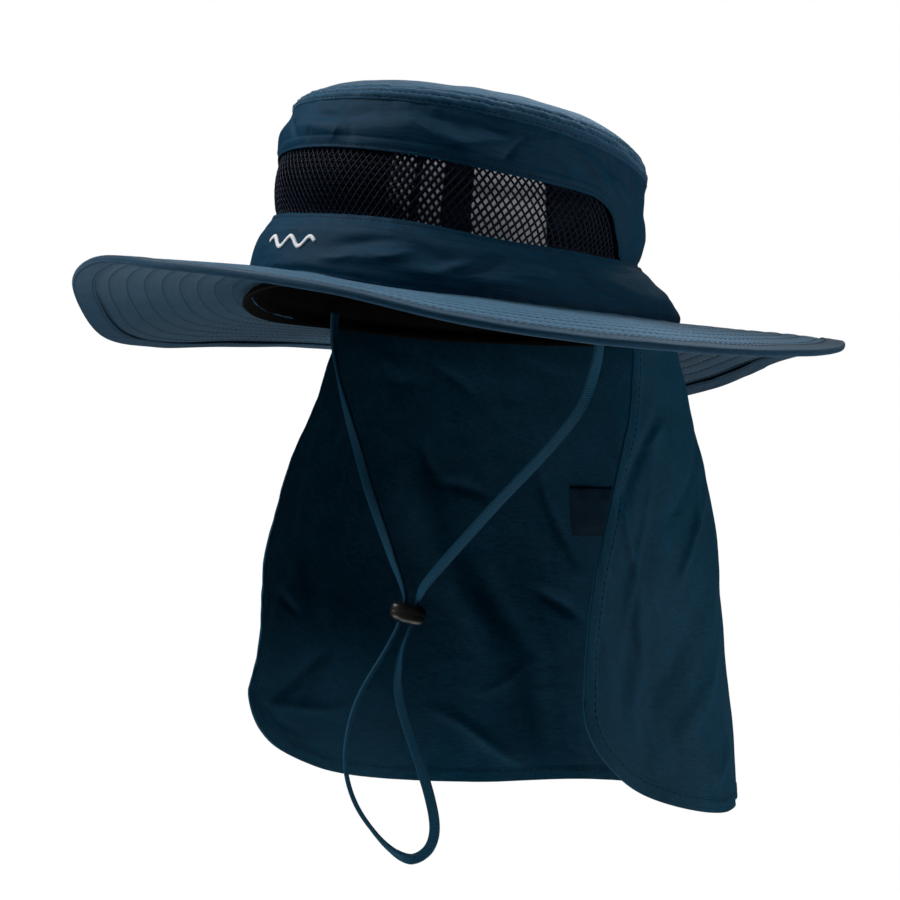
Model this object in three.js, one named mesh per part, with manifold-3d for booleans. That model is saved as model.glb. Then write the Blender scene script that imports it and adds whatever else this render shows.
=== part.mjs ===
// Legionnaire sun hat: a crown with a net window, a wide soft brim, a neck flap and a chin cord.
// Millimetres, +Z up, front toward -Y, wearer's left toward +X, origin in the middle of the head opening.
// A turn is an angle in degrees from the front, toward the wearer's left.
import * as THREE from "three";
import Module from "manifold-3d";

// Driving dimensions
const openingLength = 196; // head opening, front to back
const openingWidth = 172; // head opening, side to side
const crownHeight = 88;
const topHeight = 86.5; // the middle of the top
const hatTilt = 7.5; // the hat leans back by this many degrees
const brimWidth = 68.7;
const brimFrontExtra = 2; // the brim is wider than brimWidth in front by this, and narrower behind
const brimWall = 2.4;
const brimEdgeWall = 1.8;
const brimCamber = 1.5; // the brim's middle stands proud of a straight slope
const bindingWidth = 8;
const bindingWall = 1;
const clothWall = 1.2;
const netWall = 1;
const sewnGap = 0.5; // clearance between layers that are sewn together
const looseGap = 0.8; // clearance between layers that only lie together
const netGap = 1.8; // clearance of the net behind the window's edges
const slotGap = 0.5; // clearance of the cord in its lock
const sweatbandWall = 1.2;
const flapDrop = 211; // the hem below the origin
const flapFlare = 36; // how far the hem swings out past the opening
const flapWall = 1.4;
const hemWall = 2.2;
const hemWidth = 6;
const patchWidth = 26;
const patchHeight = 23;
const patchWall = 1;
const cordWidth = 4.6;
const cordWall = 2;
const lockLength = 15.5;
const lockHeight = 8.4;
const lockDepth = 10;
const lockLegSpacing = 5.2;
const motifWidth = 33;
const motifHeight = 6;
const motifLine = 1.8;
const motifWall = 1;

// Counts of facets, columns and gaps
const ringColumns = 48;
const netColumns = 28;
const netRows = 3;
const cordSteps = 72;
const cordSides = 8;
const motifSteps = 24;

// Heights round the crown, as shares of crownHeight
const crownRows = [
  { at: 0, joint: 0.016, waist: 0.293, netTop: 0.601, seam: 0.831 },
  { at: 30, joint: -0.042, waist: 0.272, netTop: 0.57, seam: 0.815 },
  { at: 60, joint: -0.056, waist: 0.23, netTop: 0.528, seam: 0.784 },
  { at: 90, joint: -0.035, waist: 0.235, netTop: 0.507, seam: 0.742 },
  { at: 120, joint: 0.021, waist: 0.261, netTop: 0.491, seam: 0.69 },
  { at: 150, joint: 0.047, waist: 0.282, netTop: 0.491, seam: 0.669 },
  { at: 180, joint: 0.037, waist: 0.272, netTop: 0.491, seam: 0.669 },
  { at: 210, joint: 0.031, waist: 0.272, netTop: 0.491, seam: 0.68 },
  { at: 240, joint: 0.01, waist: 0.261, netTop: 0.502, seam: 0.711 },
  { at: 270, joint: -0.01, waist: 0.251, netTop: 0.523, seam: 0.763 },
  { at: 300, joint: -0.031, waist: 0.277, netTop: 0.57, seam: 0.81 },
  { at: 330, joint: 0.01, waist: 0.319, netTop: 0.606, seam: 0.842 },
];

// Rings up the crown: size as a share of the opening, and forward shift as a share of half its length.
// Level 0 is the joint with the brim, 1 the waist, 2 the top of the net and 3 the seam of the top panel.
const profileRows = [
  { at: -0.3, size: 1, shift: 0 },
  { at: 0, size: 1, shift: 0 },
  { at: 0.35, size: 0.968, shift: -0.025 },
  { at: 0.7, size: 0.915, shift: -0.06 },
  { at: 1, size: 0.845, shift: -0.085 },
  { at: 1.3, size: 0.852, shift: -0.08 },
  { at: 1.7, size: 0.862, shift: -0.078 },
  { at: 2, size: 0.86, shift: -0.082 },
  { at: 2.5, size: 0.855, shift: -0.094 },
  { at: 3, size: 0.822, shift: -0.092 },
];

// Height of the brim's edge round the hat, as a share of brimWidth
const brimRows = [
  { at: 0, edge: -0.114 },
  { at: 15, edge: -0.171 },
  { at: 30, edge: -0.238 },
  { at: 45, edge: -0.331 },
  { at: 60, edge: -0.362 },
  { at: 75, edge: -0.336 },
  { at: 90, edge: -0.279 },
  { at: 105, edge: -0.191 },
  { at: 120, edge: -0.088 },
  { at: 135, edge: 0.021 },
  { at: 150, edge: 0.052 },
  { at: 165, edge: 0.021 },
  { at: 180, edge: -0.14 },
  { at: 195, edge: -0.235 },
  { at: 210, edge: -0.186 },
  { at: 225, edge: -0.124 },
  { at: 240, edge: -0.062 },
  { at: 255, edge: -0.093 },
  { at: 270, edge: -0.176 },
  { at: 285, edge: -0.269 },
  { at: 300, edge: -0.295 },
  { at: 315, edge: -0.155 },
  { at: 330, edge: -0.072 },
  { at: 345, edge: -0.047 },
];

// Lower edge of the upper side band: over the net it stops at level 2, behind it comes down under the band
const windowRows = [
  { at: 0, level: 2 },
  { at: 88, level: 2 },
  { at: 94, level: 1.96 },
  { at: 99, level: 1.82 },
  { at: 103, level: 1.5 },
  { at: 107, level: 1.22 },
  { at: 109.5, level: 1.08 },
  { at: 112, level: 0.97 },
  { at: 115, level: 0.91 },
  { at: 120, level: 0.88 },
  { at: 180, level: 0.88 },
];

// The flap by drop, as a share of flapDrop: share of the flare, and the turns of its two front edges
const flapRows = [
  { at: 0, flare: 0, left: 98, right: 268 },
  { at: 0.08, flare: 0.08, left: 96, right: 271 },
  { at: 0.17, flare: 0.22, left: 92, right: 275 },
  { at: 0.28, flare: 0.43, left: 84.5, right: 282.5 },
  { at: 0.38, flare: 0.57, left: 79.5, right: 287.5 },
  { at: 0.5, flare: 0.74, left: 74, right: 292 },
  { at: 0.7, flare: 0.88, left: 70, right: 293 },
  { at: 0.85, flare: 1.01, left: 69.5, right: 297 },
  { at: 1, flare: 1.1, left: 69.5, right: 299 },
];

// Depth of the hem along the flap, from the left edge to the right, as a share of flapDrop
const hemRows = [
  { at: 0, drop: 0.982 },
  { at: 0.25, drop: 0.985 },
  { at: 0.5, drop: 1 },
  { at: 0.7, drop: 1.01 },
  { at: 1, drop: 1.002 },
];

// The rounded lower corners of the flap: how far each runs along the hem and how high it climbs
const cornerRows = {
  left: { run: 85, rise: 47 },
  right: { run: 125, rise: 52 },
};

// Soft upright folds in the flap: turn at the hem, half width in degrees, depth in mm, share where it starts
const foldRows = [
  { turn: 84, width: 8, depth: -4, from: 0.1 },
  { turn: 104, width: 11, depth: 3, from: 0.15 },
  { turn: 131, width: 9, depth: -3, from: 0.3 },
  { turn: 156, width: 10, depth: 4, from: 0.2 },
  { turn: 178, width: 8, depth: -5, from: 0.25 },
  { turn: 203, width: 10, depth: 4, from: 0.2 },
  { turn: 226, width: 9, depth: -5, from: 0.3 },
  { turn: 252, width: 11, depth: 3, from: 0.3 },
  { turn: 276, width: 8, depth: -3, from: 0.2 },
];

// Where the cord runs: from the wearer's left side, through the lock, round the loop and up the other side.
// face is the turn that the flat of the cord looks to.
const cordLockPlace = { x: -32, y: -3, z: -129, roll: -14, face: -45 };
const cordRows = [
  { x: 78, y: -3, z: -1, face: 88 },
  { x: 78.5, y: -3, z: -16, face: 80 },
  { x: 75, y: -3, z: -28, face: 65 },
  { x: 69, y: -3, z: -40, face: 55 },
  { x: 58, y: -3, z: -51, face: 50 },
  { x: 45, y: -3, z: -62, face: 45 },
  { x: 23, y: -3, z: -79, face: 45 },
  { x: 6, y: -3, z: -93, face: 40 },
  { x: -12, y: -3, z: -108, face: 15 },
  { x: -23, y: -3, z: -118, face: -20 },
  { leg: 1, end: 1, face: -45 },
  { leg: 1, end: 0.3, face: -45 },
  { leg: 1, end: -0.3, face: -45 },
  { leg: 1, end: -1, face: -45 },
  { x: -33, y: -5, z: -143, face: -25 },
  { x: -35, y: -6, z: -157, face: 15 },
  { x: -34, y: -5, z: -169, face: 40 },
  { x: -31, y: -2, z: -183, face: 45 },
  { x: -28, y: 1, z: -196, face: 45 },
  { x: -25, y: 4, z: -211, face: 45 },
  { x: -24, y: 5, z: -223, face: 40 },
  { x: -26, y: 3, z: -231, face: 25 },
  { x: -31, y: -2, z: -235, face: 0 },
  { x: -37, y: -8, z: -231, face: -25 },
  { x: -43, y: -14, z: -222, face: -40 },
  { x: -48, y: -19, z: -211, face: -45 },
  { x: -51, y: -22, z: -196, face: -45 },
  { x: -50, y: -21, z: -178, face: -45 },
  { x: -46, y: -17, z: -162, face: -45 },
  { x: -40, y: -11, z: -148, face: -45 },
  { leg: -1, end: -1, face: -45 },
  { leg: -1, end: -0.3, face: -45 },
  { leg: -1, end: 0.3, face: -45 },
  { leg: -1, end: 1, face: -45 },
  { x: -41, y: -3, z: -107, face: -10 },
  { x: -48, y: -3, z: -93, face: 20 },
  { x: -56, y: -3, z: -77, face: 30 },
  { x: -63, y: -3, z: -60, face: 20 },
  { x: -70, y: -3, z: -43, face: -10 },
  { x: -76, y: -3, z: -26, face: -45 },
  { x: -78.5, y: -3, z: -12, face: -75 },
  { x: -78, y: -3, z: 1, face: -88 },
];

// Colours and finishes
const finishes = {
  crown: { color: 0x12303f, roughness: 0.62 },
  brim: { color: 0x1b3d52, roughness: 0.6 },
  net: { color: 0x0c1420, roughness: 0.8 },
  sweat: { color: 0x0d0d10, roughness: 0.85 },
  flap: { color: 0x0f2a39, roughness: 0.65 },
  patch: { color: 0x0b1a26, roughness: 0.8 },
  cord: { color: 0x102a3c, roughness: 0.75 },
  lock: { color: 0x14100f, roughness: 0.3 },
  thread: { color: 0xe6e8ea, roughness: 0.55 },
};

const wasm = await Module();
wasm.setup();

const halfLength = openingLength / 2;
const halfWidth = openingWidth / 2;
const up = new THREE.Vector3(0, 0, 1);
const radians = THREE.MathUtils.degToRad;
const { lerp, smoothstep, clamp } = THREE.MathUtils;

// Smooth reading of one column of a table at a place between its rows, wrapping round if it has a period
function read(rows, column, place, period = 0) {
  const count = rows.length;
  const wrapped = period ? THREE.MathUtils.euclideanModulo(place, period) : place;
  const row = (k) => {
    if (!period) return rows[clamp(k, 0, count - 1)];
    const laps = Math.floor(k / count);
    const found = rows[k - laps * count];
    return { at: found.at + laps * period, [column]: found[column] };
  };
  let k = 0;
  while (k < count - 1 && rows[k + 1].at <= wrapped) k += 1;
  const [before, start, end, after] = [k - 1, k, k + 1, k + 2].map(row);
  const span = end.at - start.at;
  if (!span) return start[column];
  const t = clamp((wrapped - start.at) / span, 0, 1);
  const slope = (a, b) => (b.at === a.at ? 0 : ((b[column] - a[column]) / (b.at - a.at)) * span);
  const [m0, m1] = [slope(before, end), slope(start, after)];
  const [t2, t3] = [t * t, t * t * t];
  const ease = start[column] * (2 * t3 - 3 * t2 + 1) + end[column] * (3 * t2 - 2 * t3);
  return ease + m0 * (t3 - 2 * t2 + t) + m1 * (t3 - t2);
}

// A point on an oval round the head, in the hat's own upright frame
function ovalPoint(turn, across, along, shift, z) {
  const angle = radians(turn);
  return new THREE.Vector3(across * Math.sin(angle), shift - along * Math.cos(angle), z);
}

// Height of a level of the crown at a turn
function levelHeight(turn, level) {
  const names = ["joint", "waist", "netTop", "seam"];
  const k = clamp(Math.floor(level), 0, 2);
  const [low, high] = [names[k], names[k + 1]].map((name) => read(crownRows, name, turn, 360));
  return crownHeight * lerp(low, high, level - k);
}

// The outside of the crown's wall
function crownPoint(turn, level) {
  const size = read(profileRows, "size", level);
  const shift = read(profileRows, "shift", level) * halfLength;
  return ovalPoint(turn, halfWidth * size, halfLength * size, shift, levelHeight(turn, level));
}

// The outside of the top panel above its seam: climb 0 is the seam, 1 the middle of the top
function domePoint(turn, climb) {
  const squareness = 0.76;
  const angle = (climb * Math.PI) / 2;
  const rim = profileRows.at(-1);
  const size = rim.size * Math.cos(angle) ** squareness;
  const seam = levelHeight(turn, 3);
  const z = lerp(seam, topHeight, Math.sin(angle) ** squareness);
  return ovalPoint(turn, halfWidth * size, halfLength * size, rim.shift * halfLength, z);
}

// The crown's wall and its top as one surface: below 3 the level, above it the climb over the top
function skinPoint(turn, level) {
  return level <= 3 ? crownPoint(turn, level) : domePoint(turn, level - 3);
}

// Width of the brim at a turn
function brimReach(turn) {
  return brimWidth + brimFrontExtra * Math.cos(radians(turn));
}

// The middle of the brim's thickness: out 0 is the crown joint, 1 the edge
function brimPoint(turn, out) {
  const root = levelHeight(turn, 0) - looseGap - brimWall / 2;
  const edge = read(brimRows, "edge", turn, 360) * brimWidth;
  const z = lerp(root, edge, out) + brimCamber * Math.sin(Math.PI * clamp(out, 0, 1));
  const reach = brimReach(turn) * out;
  return ovalPoint(turn, halfWidth + reach, halfLength + reach, 0, z);
}

// The direction that a surface faces
function facing(surface, u, v, stepU = 0.5, stepV = 0.02) {
  const alongU = surface(u + stepU, v).sub(surface(u - stepU, v));
  const alongV = surface(u, v + stepV).sub(surface(u, v - stepV));
  return alongU.cross(alongV).normalize();
}

// A point that stands off a surface by a distance along its facing
function offsetPoint(surface, u, v, distance) {
  return surface(u, v).addScaledVector(facing(surface, u, v), distance);
}

// A point of a layer of the crown: a wall's layers lie side by side, and a top's lie under one another
function layerPoint(turn, level, distance) {
  const direction = level === 4 ? up.clone() : facing(skinPoint, turn, Math.min(level, 3.94));
  if (level <= 3) direction.setZ(0).normalize();
  return skinPoint(turn, level).addScaledVector(direction, distance);
}

// Evenly spaced numbers from one value to another, both included
function spread(from, to, count) {
  return Array.from({ length: count }, (_, k) => lerp(from, to, k / (count - 1)));
}

// Collects triangles and joins the corners that fall on one place
class Skin {
  constructor() {
    this.places = new Map();
    this.corners = [];
    this.index = [];
  }
  corner(point) {
    const key = point.toArray().map((value) => Math.round(value * 1e4)).join();
    if (!this.places.has(key)) {
      this.places.set(key, this.corners.length);
      this.corners.push(point);
    }
    return this.places.get(key);
  }
  face(...points) {
    const ids = points.map((point) => this.corner(point));
    for (let k = 1; k < ids.length - 1; k += 1) {
      const triangle = [ids[0], ids[k], ids[k + 1]];
      if (new Set(triangle).size === 3) this.index.push(...triangle);
    }
  }
  geometry() {
    const made = new THREE.BufferGeometry().setFromPoints(this.corners);
    made.setIndex(this.index);
    made.computeVertexNormals();
    return made;
  }
}

// A closed sheet of cloth between two grids of points, rows upward and columns along rising turns
function sheetGeometry(outer, inner, closed) {
  const skin = new Skin();
  const [rows, columns] = [outer.length, outer[0].length];
  const last = closed ? columns : columns - 1;
  for (let u = 0; u < last; u += 1) {
    const next = (u + 1) % columns;
    for (let v = 0; v < rows - 1; v += 1) {
      skin.face(outer[v][u], outer[v][next], outer[v + 1][next], outer[v + 1][u]);
      skin.face(inner[v][next], inner[v][u], inner[v + 1][u], inner[v + 1][next]);
    }
    skin.face(outer[0][next], outer[0][u], inner[0][u], inner[0][next]);
    skin.face(outer[rows - 1][u], outer[rows - 1][next], inner[rows - 1][next], inner[rows - 1][u]);
  }
  for (let v = 0; !closed && v < rows - 1; v += 1) {
    skin.face(outer[v][0], outer[v + 1][0], inner[v + 1][0], inner[v][0]);
    skin.face(outer[v + 1][last], outer[v][last], inner[v][last], inner[v + 1][last]);
  }
  return skin.geometry();
}

// A layer of the crown all round, between two distances from its outside
function layerGeometry(turns, levelsAt, outside, inside) {
  const grid = (distance) =>
    levelsAt(turns[0]).map((_, v) =>
      turns.map((turn) => layerPoint(turn, levelsAt(turn)[v], distance)),
    );
  return sheetGeometry(grid(outside), grid(inside), true);
}

// A solid swept through a row of sections, each a loop of points that runs right-handed round the path
function sweepGeometry(sections, closed) {
  const skin = new Skin();
  const sides = sections[0].length;
  const last = closed ? sections.length : sections.length - 1;
  for (let k = 0; k < last; k += 1) {
    const [here, there] = [sections[k], sections[(k + 1) % sections.length]];
    for (let j = 0; j < sides; j += 1) {
      const next = (j + 1) % sides;
      skin.face(here[j], here[next], there[next], there[j]);
    }
  }
  if (!closed) {
    skin.face(...[...sections[0]].reverse());
    skin.face(...sections.at(-1));
  }
  return skin.geometry();
}

// Turns the hat's own upright frame into the leaning hat
function leanBack(point) {
  return point.clone().applyAxisAngle(new THREE.Vector3(1, 0, 0), radians(-hatTilt));
}

const ringTurns = spread(0, 360, ringColumns + 1).slice(0, -1);

// The same, with the turns of the window's ends in place of their neighbours
const windowTurns = windowRows.slice(2, -1).flatMap((row) => [row.at, 360 - row.at]);
const crownTurns = ringTurns
  .filter((turn) => windowTurns.every((end) => Math.abs(end - turn) > 2.4))
  .concat(windowTurns)
  .sort((a, b) => a - b);

// Depths of the layers of the crown below its outside
const underBand = clothWall + sewnGap;
const underSide = underBand + clothWall + netGap;
const flapDepth = clothWall + looseGap;
const underFlap = flapDepth + flapWall + sewnGap;

const lapLevel = 0.1; // laps of one panel over the next, in levels

// The round top panel, with its border lapped over the side band
function crownTop() {
  return layerGeometry(ringTurns, () => [3, 3.1, 3.24, 3.45, 3.7, 4], 0, -clothWall);
}

// The upper side band, with its rear panel
function crownSide() {
  const levelsAt = (turn) => {
    const low = read(windowRows, "level", turn > 180 ? 360 - turn : turn);
    const waist = low < 1 ? 1 : lerp(low, 3, 0.065);
    return [low, waist, lerp(low, 3, 0.3), lerp(low, 3, 0.65), 3, 3 + lapLevel];
  };
  return layerGeometry(crownTurns, levelsAt, -underBand, -underBand - clothWall);
}

// The plain band between the net and the brim
function lowerBand() {
  return layerGeometry(crownTurns, () => [0, 0.33, 0.62, 0.84, 1], 0, -clothWall);
}

// The net: rows of cells set in a staggered pattern, each cut through with a diamond
function netBand() {
  const netEndTurn = 114;
  const strand = 0.1; // share of a cell left on each side of its gap
  const lines = [1 - lapLevel, 1.34, 1.68, 2 + 2 * lapLevel];
  const gapEnds = [[1.03, 1.31], [1.37, 1.65], [1.71, 1.97]];
  const halves = 2 * netColumns;
  const turnAt = (half) => lerp(-netEndTurn, netEndTurn, half / halves);
  const depths = [-underSide, -underSide - netWall];
  const skin = new Skin();
  // The same face on the outside and, turned over, on the inside
  const bothSides = (...places) => {
    const [outer, inner] = depths.map((depth) =>
      places.map(([half, level]) => layerPoint(turnAt(half), level, depth)),
    );
    skin.face(...outer);
    skin.face(...inner.reverse());
  };
  // A wall between the outside and the inside along an edge of the outside face
  const edgeWall = (from, to) => {
    const [a, b] = [from, to].map(([half, level]) =>
      depths.map((depth) => layerPoint(turnAt(half), level, depth)),
    );
    skin.face(b[0], a[0], a[1], b[1]);
  };
  for (let row = 0; row < netRows; row += 1) {
    const [low, high] = [lines[row], lines[row + 1]];
    const [gapLow, gapHigh] = gapEnds[row];
    const start = row % 2;
    for (let half = start; half + 2 <= halves; half += 2) {
      const rim = [
        [half, low], [half + 1, low], [half + 2, low],
        [half + 2, high], [half + 1, high], [half, high],
      ];
      const gap = [
        [half + 1, gapLow],
        [half + 2 - 2 * strand, (gapLow + gapHigh) / 2],
        [half + 1, gapHigh],
        [half + 2 * strand, (gapLow + gapHigh) / 2],
      ];
      bothSides(rim[0], rim[1], gap[0]);
      bothSides(rim[1], rim[2], gap[0]);
      bothSides(rim[2], gap[1], gap[0]);
      bothSides(rim[2], rim[3], gap[1]);
      bothSides(rim[3], gap[2], gap[1]);
      bothSides(rim[3], rim[4], gap[2]);
      bothSides(rim[4], rim[5], gap[2]);
      bothSides(rim[5], gap[3], gap[2]);
      bothSides(rim[5], rim[0], gap[3]);
      bothSides(rim[0], gap[0], gap[3]);
      gap.forEach((place, k) => edgeWall(gap[(k + 1) % 4], place));
    }
    if (start) {
      for (const half of [0, halves - 1]) {
        bothSides([half, low], [half + 1, low], [half + 1, high], [half, high]);
      }
    }
    edgeWall([0, high], [0, low]);
    edgeWall([halves, low], [halves, high]);
  }
  for (let half = 0; half < halves; half += 1) {
    edgeWall([half, lines[0]], [half + 1, lines[0]]);
    edgeWall([half + 1, lines[netRows]], [half, lines[netRows]]);
  }
  return skin.geometry();
}

// The brim, thinner where the binding holds it
function brim() {
  const bound = 1 - (bindingWidth + 2) / brimWidth;
  const outs = [-clothWall / brimWidth, 0.25, 0.55, bound, bound + 0.03, 1];
  const walls = [brimWall, brimWall, brimWall, brimWall, brimEdgeWall, brimEdgeWall];
  const surface = (turn, rise) => brimPoint(turn, 1 - rise);
  const grid = (side) =>
    outs
      .map((out, k) =>
        ringTurns.map((turn) => offsetPoint(surface, turn, 1 - out, (side * walls[k]) / 2)),
      )
      .reverse();
  return sheetGeometry(grid(1), grid(-1), true);
}

// The binding: a folded strip that wraps the brim's edge with a small gap
function brimBinding() {
  const inside = brimEdgeWall / 2 + sewnGap;
  const outside = inside + bindingWall;
  const section = [
    { out: -bindingWidth, rise: outside },
    { out: sewnGap, rise: outside },
    { out: sewnGap + bindingWall, rise: outside / 2 },
    { out: sewnGap + bindingWall, rise: -outside / 2 },
    { out: sewnGap, rise: -outside },
    { out: -bindingWidth, rise: -outside },
    { out: -bindingWidth, rise: -inside },
    { out: sewnGap, rise: -inside },
    { out: sewnGap, rise: inside },
    { out: -bindingWidth, rise: inside },
  ];
  const surface = (turn, rise) => brimPoint(turn, 1 - rise);
  const sections = ringTurns.map((turn) =>
    section.map(({ out, rise }) => offsetPoint(surface, turn, -out / brimReach(turn), rise)),
  );
  return sweepGeometry(sections, true);
}

// The band inside the opening that rests on the head
function sweatband() {
  const levelsAt = () => [-0.2, 0.25, 0.72];
  return layerGeometry(ringTurns, levelsAt, -underFlap, -underFlap - sweatbandWall);
}

// The middle of the flap's thickness, in the hanging frame: along runs 0 to 1 from the wearer's left edge
// round the back to the right edge, and fall runs 0 to 1 from the sewn top down to the hem
const flapTopLevel = 0.15;
const flapFreeLevel = -0.14;
const sewnFall = 0.03;
const flapHemLength = 430;
function hemHeight(along) {
  const climb = ({ run, rise }, distance) => {
    const t = 1 - clamp(distance / run, 0, 1);
    return rise * (1 - Math.sqrt(1 - t * t));
  };
  const leftClimb = climb(cornerRows.left, along * flapHemLength);
  const rightClimb = climb(cornerRows.right, (1 - along) * flapHemLength);
  return -flapDrop * read(hemRows, "drop", along) + leftClimb + rightClimb;
}
function sewnPoint(turn, level) {
  return leanBack(layerPoint(turn, level, -flapDepth - flapWall / 2));
}
function flapPoint(along, fall) {
  const topTurn = lerp(flapRows[0].left, flapRows[0].right, along);
  if (fall <= sewnFall) {
    return sewnPoint(topTurn, lerp(flapTopLevel, flapFreeLevel, fall / sewnFall));
  }
  const free = (fall - sewnFall) / (1 - sewnFall);
  const root = sewnPoint(topTurn, flapFreeLevel);
  const z = lerp(root.z, hemHeight(along), free);
  const drop = clamp((root.z - z) / (root.z + flapDrop), 0, 1);
  const flare = read(flapRows, "flare", drop);
  const turn = lerp(read(flapRows, "left", drop), read(flapRows, "right", drop), along);
  const hemTurn = lerp(flapRows.at(-1).left, flapRows.at(-1).right, along);
  let swell = 0;
  for (const fold of foldRows) {
    const grown = smoothstep(drop, fold.from, 0.95);
    swell += fold.depth * grown * Math.exp(-(((hemTurn - fold.turn) / fold.width) ** 2));
  }
  const across = halfWidth - flapDepth - flapWall / 2 + 0.54 * flapFlare * flare + swell;
  const deep = halfLength - flapDepth - flapWall / 2 + 0.49 * flapFlare * flare + swell;
  const hanging = ovalPoint(turn, across, deep, 0.28 * flapFlare * flare, z);
  const settled = smoothstep(free, 0, 0.12);
  return new THREE.Vector3(
    lerp(root.x, hanging.x, settled),
    lerp(root.y, hanging.y, settled),
    z,
  );
}
function flapFacing(along, fall) {
  const inAlong = clamp(along, 0.006, 0.994);
  const inFall = clamp(fall, 0.011, 0.989);
  const across = flapPoint(inAlong + 0.005, inFall).sub(flapPoint(inAlong - 0.005, inFall));
  const down = flapPoint(inAlong, inFall + 0.01).sub(flapPoint(inAlong, inFall - 0.01));
  return down.cross(across).normalize();
}
// Grid lines of the flap that its patch is sewn along
const patchPlace = { along: 0.555, fall: 0.4 };
const flapMidLength = 375;
const patchAlongs = spread(-0.5, 0.5, 3).map((s) => patchPlace.along + (s * patchWidth) / flapMidLength);
const patchFalls = spread(-0.5, 0.5, 2).map((s) => patchPlace.fall + (s * patchHeight) / flapDrop);

function neckFlap() {
  const hemAlong = hemWidth / flapHemLength;
  const hemFall = 1 - hemWidth / flapDrop;
  const leftAlongs = [0, hemAlong, hemAlong + 0.003, 0.035, 0.06, 0.09, 0.13, 0.18, 0.23, 0.28];
  const rightAlongs = leftAlongs.map((value) => 1 - value).reverse();
  const alongs = [...leftAlongs, 0.33, 0.38, 0.43, 0.475, ...patchAlongs, 0.64, 0.68, ...rightAlongs];
  const topFalls = [0, sewnFall, 0.08, 0.15, 0.24];
  const falls = [...topFalls, ...patchFalls, 0.56, 0.67, 0.78, 0.88, hemFall - 0.005, hemFall, 1];
  const grid = (side) =>
    falls
      .map((fall) =>
        alongs.map((along) => {
          const edge = Math.min(along, 1 - along);
          const hemmed = fall > sewnFall && (edge <= hemAlong || fall >= hemFall);
          const wall = hemmed ? hemWall : flapWall;
          return flapPoint(along, fall).addScaledVector(flapFacing(along, fall), (side * wall) / 2);
        }),
      )
      .reverse();
  return sheetGeometry(grid(1), grid(-1), false);
}

// The patch sewn on the inside of the flap, near the middle of the back
function flapPatch() {
  const alongs = patchAlongs;
  const falls = [...patchFalls].reverse();
  const near = flapWall / 2 + sewnGap;
  const grid = (distance) =>
    falls.map((fall) =>
      alongs.map((along) =>
        flapPoint(along, fall).addScaledVector(flapFacing(along, fall), -distance),
      ),
    );
  return sheetGeometry(grid(near), grid(near + patchWall), false);
}

// Frame of the cord lock: its long axis across the legs, its depth axis and its axis along the cord
function lockFrame() {
  const { x, y, z, roll, face } = cordLockPlace;
  const across = new THREE.Vector3(Math.cos(radians(face)), -Math.sin(radians(face)), 0);
  const deep = new THREE.Vector3().crossVectors(up, across);
  const frame = new THREE.Matrix4().makeBasis(across, deep, up);
  frame.multiply(new THREE.Matrix4().makeRotationY(radians(-roll)));
  return frame.setPosition(x, y, z);
}

// A point on one of the cord's two legs in the lock
function legPoint(leg, end) {
  const clear = lockHeight / 2 + 1.5;
  return new THREE.Vector3((leg * lockLegSpacing) / 2, 0, end * clear).applyMatrix4(lockFrame());
}

// The flat cord along its whole route
function chinCord() {
  const stops = cordRows.map((row) =>
    row.leg ? legPoint(row.leg, row.end) : new THREE.Vector3(row.x, row.y, row.z),
  );
  const route = new THREE.CatmullRomCurve3(stops, false, "centripetal");
  const sections = spread(0, 1, cordSteps + 1).map((t) => {
    const place = t * (stops.length - 1);
    const k = Math.min(Math.floor(place), stops.length - 2);
    const face = lerp(cordRows[k].face, cordRows[k + 1].face, place - k);
    const tangent = route.getTangent(t);
    const looks = new THREE.Vector3(Math.sin(radians(face)), -Math.cos(radians(face)), 0);
    const thin = looks.addScaledVector(tangent, -looks.dot(tangent)).normalize();
    const wide = new THREE.Vector3().crossVectors(tangent, thin);
    return spread(0, cordSides, cordSides + 1).slice(0, -1).map((side) => {
      const angle = ((side + 0.5) / cordSides) * 2 * Math.PI;
      const squared = (value) => Math.sign(value) * Math.abs(value) ** 0.6;
      return route
        .getPoint(t)
        .addScaledVector(thin, (squared(Math.cos(angle)) * cordWall) / 2)
        .addScaledVector(wide, (squared(Math.sin(angle)) * cordWidth) / 2);
    });
  });
  return sweepGeometry(sections, false);
}

// The oval bead, with a slot for each leg of the cord
function cordLock() {
  const rings = spread(-1, 1, 7).map((height) => {
    const swell = Math.sqrt(1 - (0.86 * height) ** 4);
    return spread(0, 20, 21).slice(0, -1).map((side) => {
      const angle = (side / 20) * 2 * Math.PI;
      const squared = (value) => Math.sign(value) * Math.abs(value) ** 0.85;
      return new THREE.Vector3(
        (squared(Math.cos(angle)) * swell * lockLength) / 2,
        (squared(Math.sin(angle)) * swell * lockDepth) / 2,
        (height * lockHeight) / 2,
      );
    });
  });
  const bead = solidFrom(sweepGeometry(rings, false));
  const slots = [-1, 1].map((leg) => {
    const slot = new THREE.BoxGeometry(
      cordWall + 2 * slotGap,
      cordWidth + 2 * slotGap,
      2 * lockHeight,
    );
    return solidFrom(slot.translate((leg * lockLegSpacing) / 2, 0, 0));
  });
  const made = geometryFrom(bead.subtract(wasm.Manifold.union(slots)));
  return made.applyMatrix4(lockFrame());
}

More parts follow.
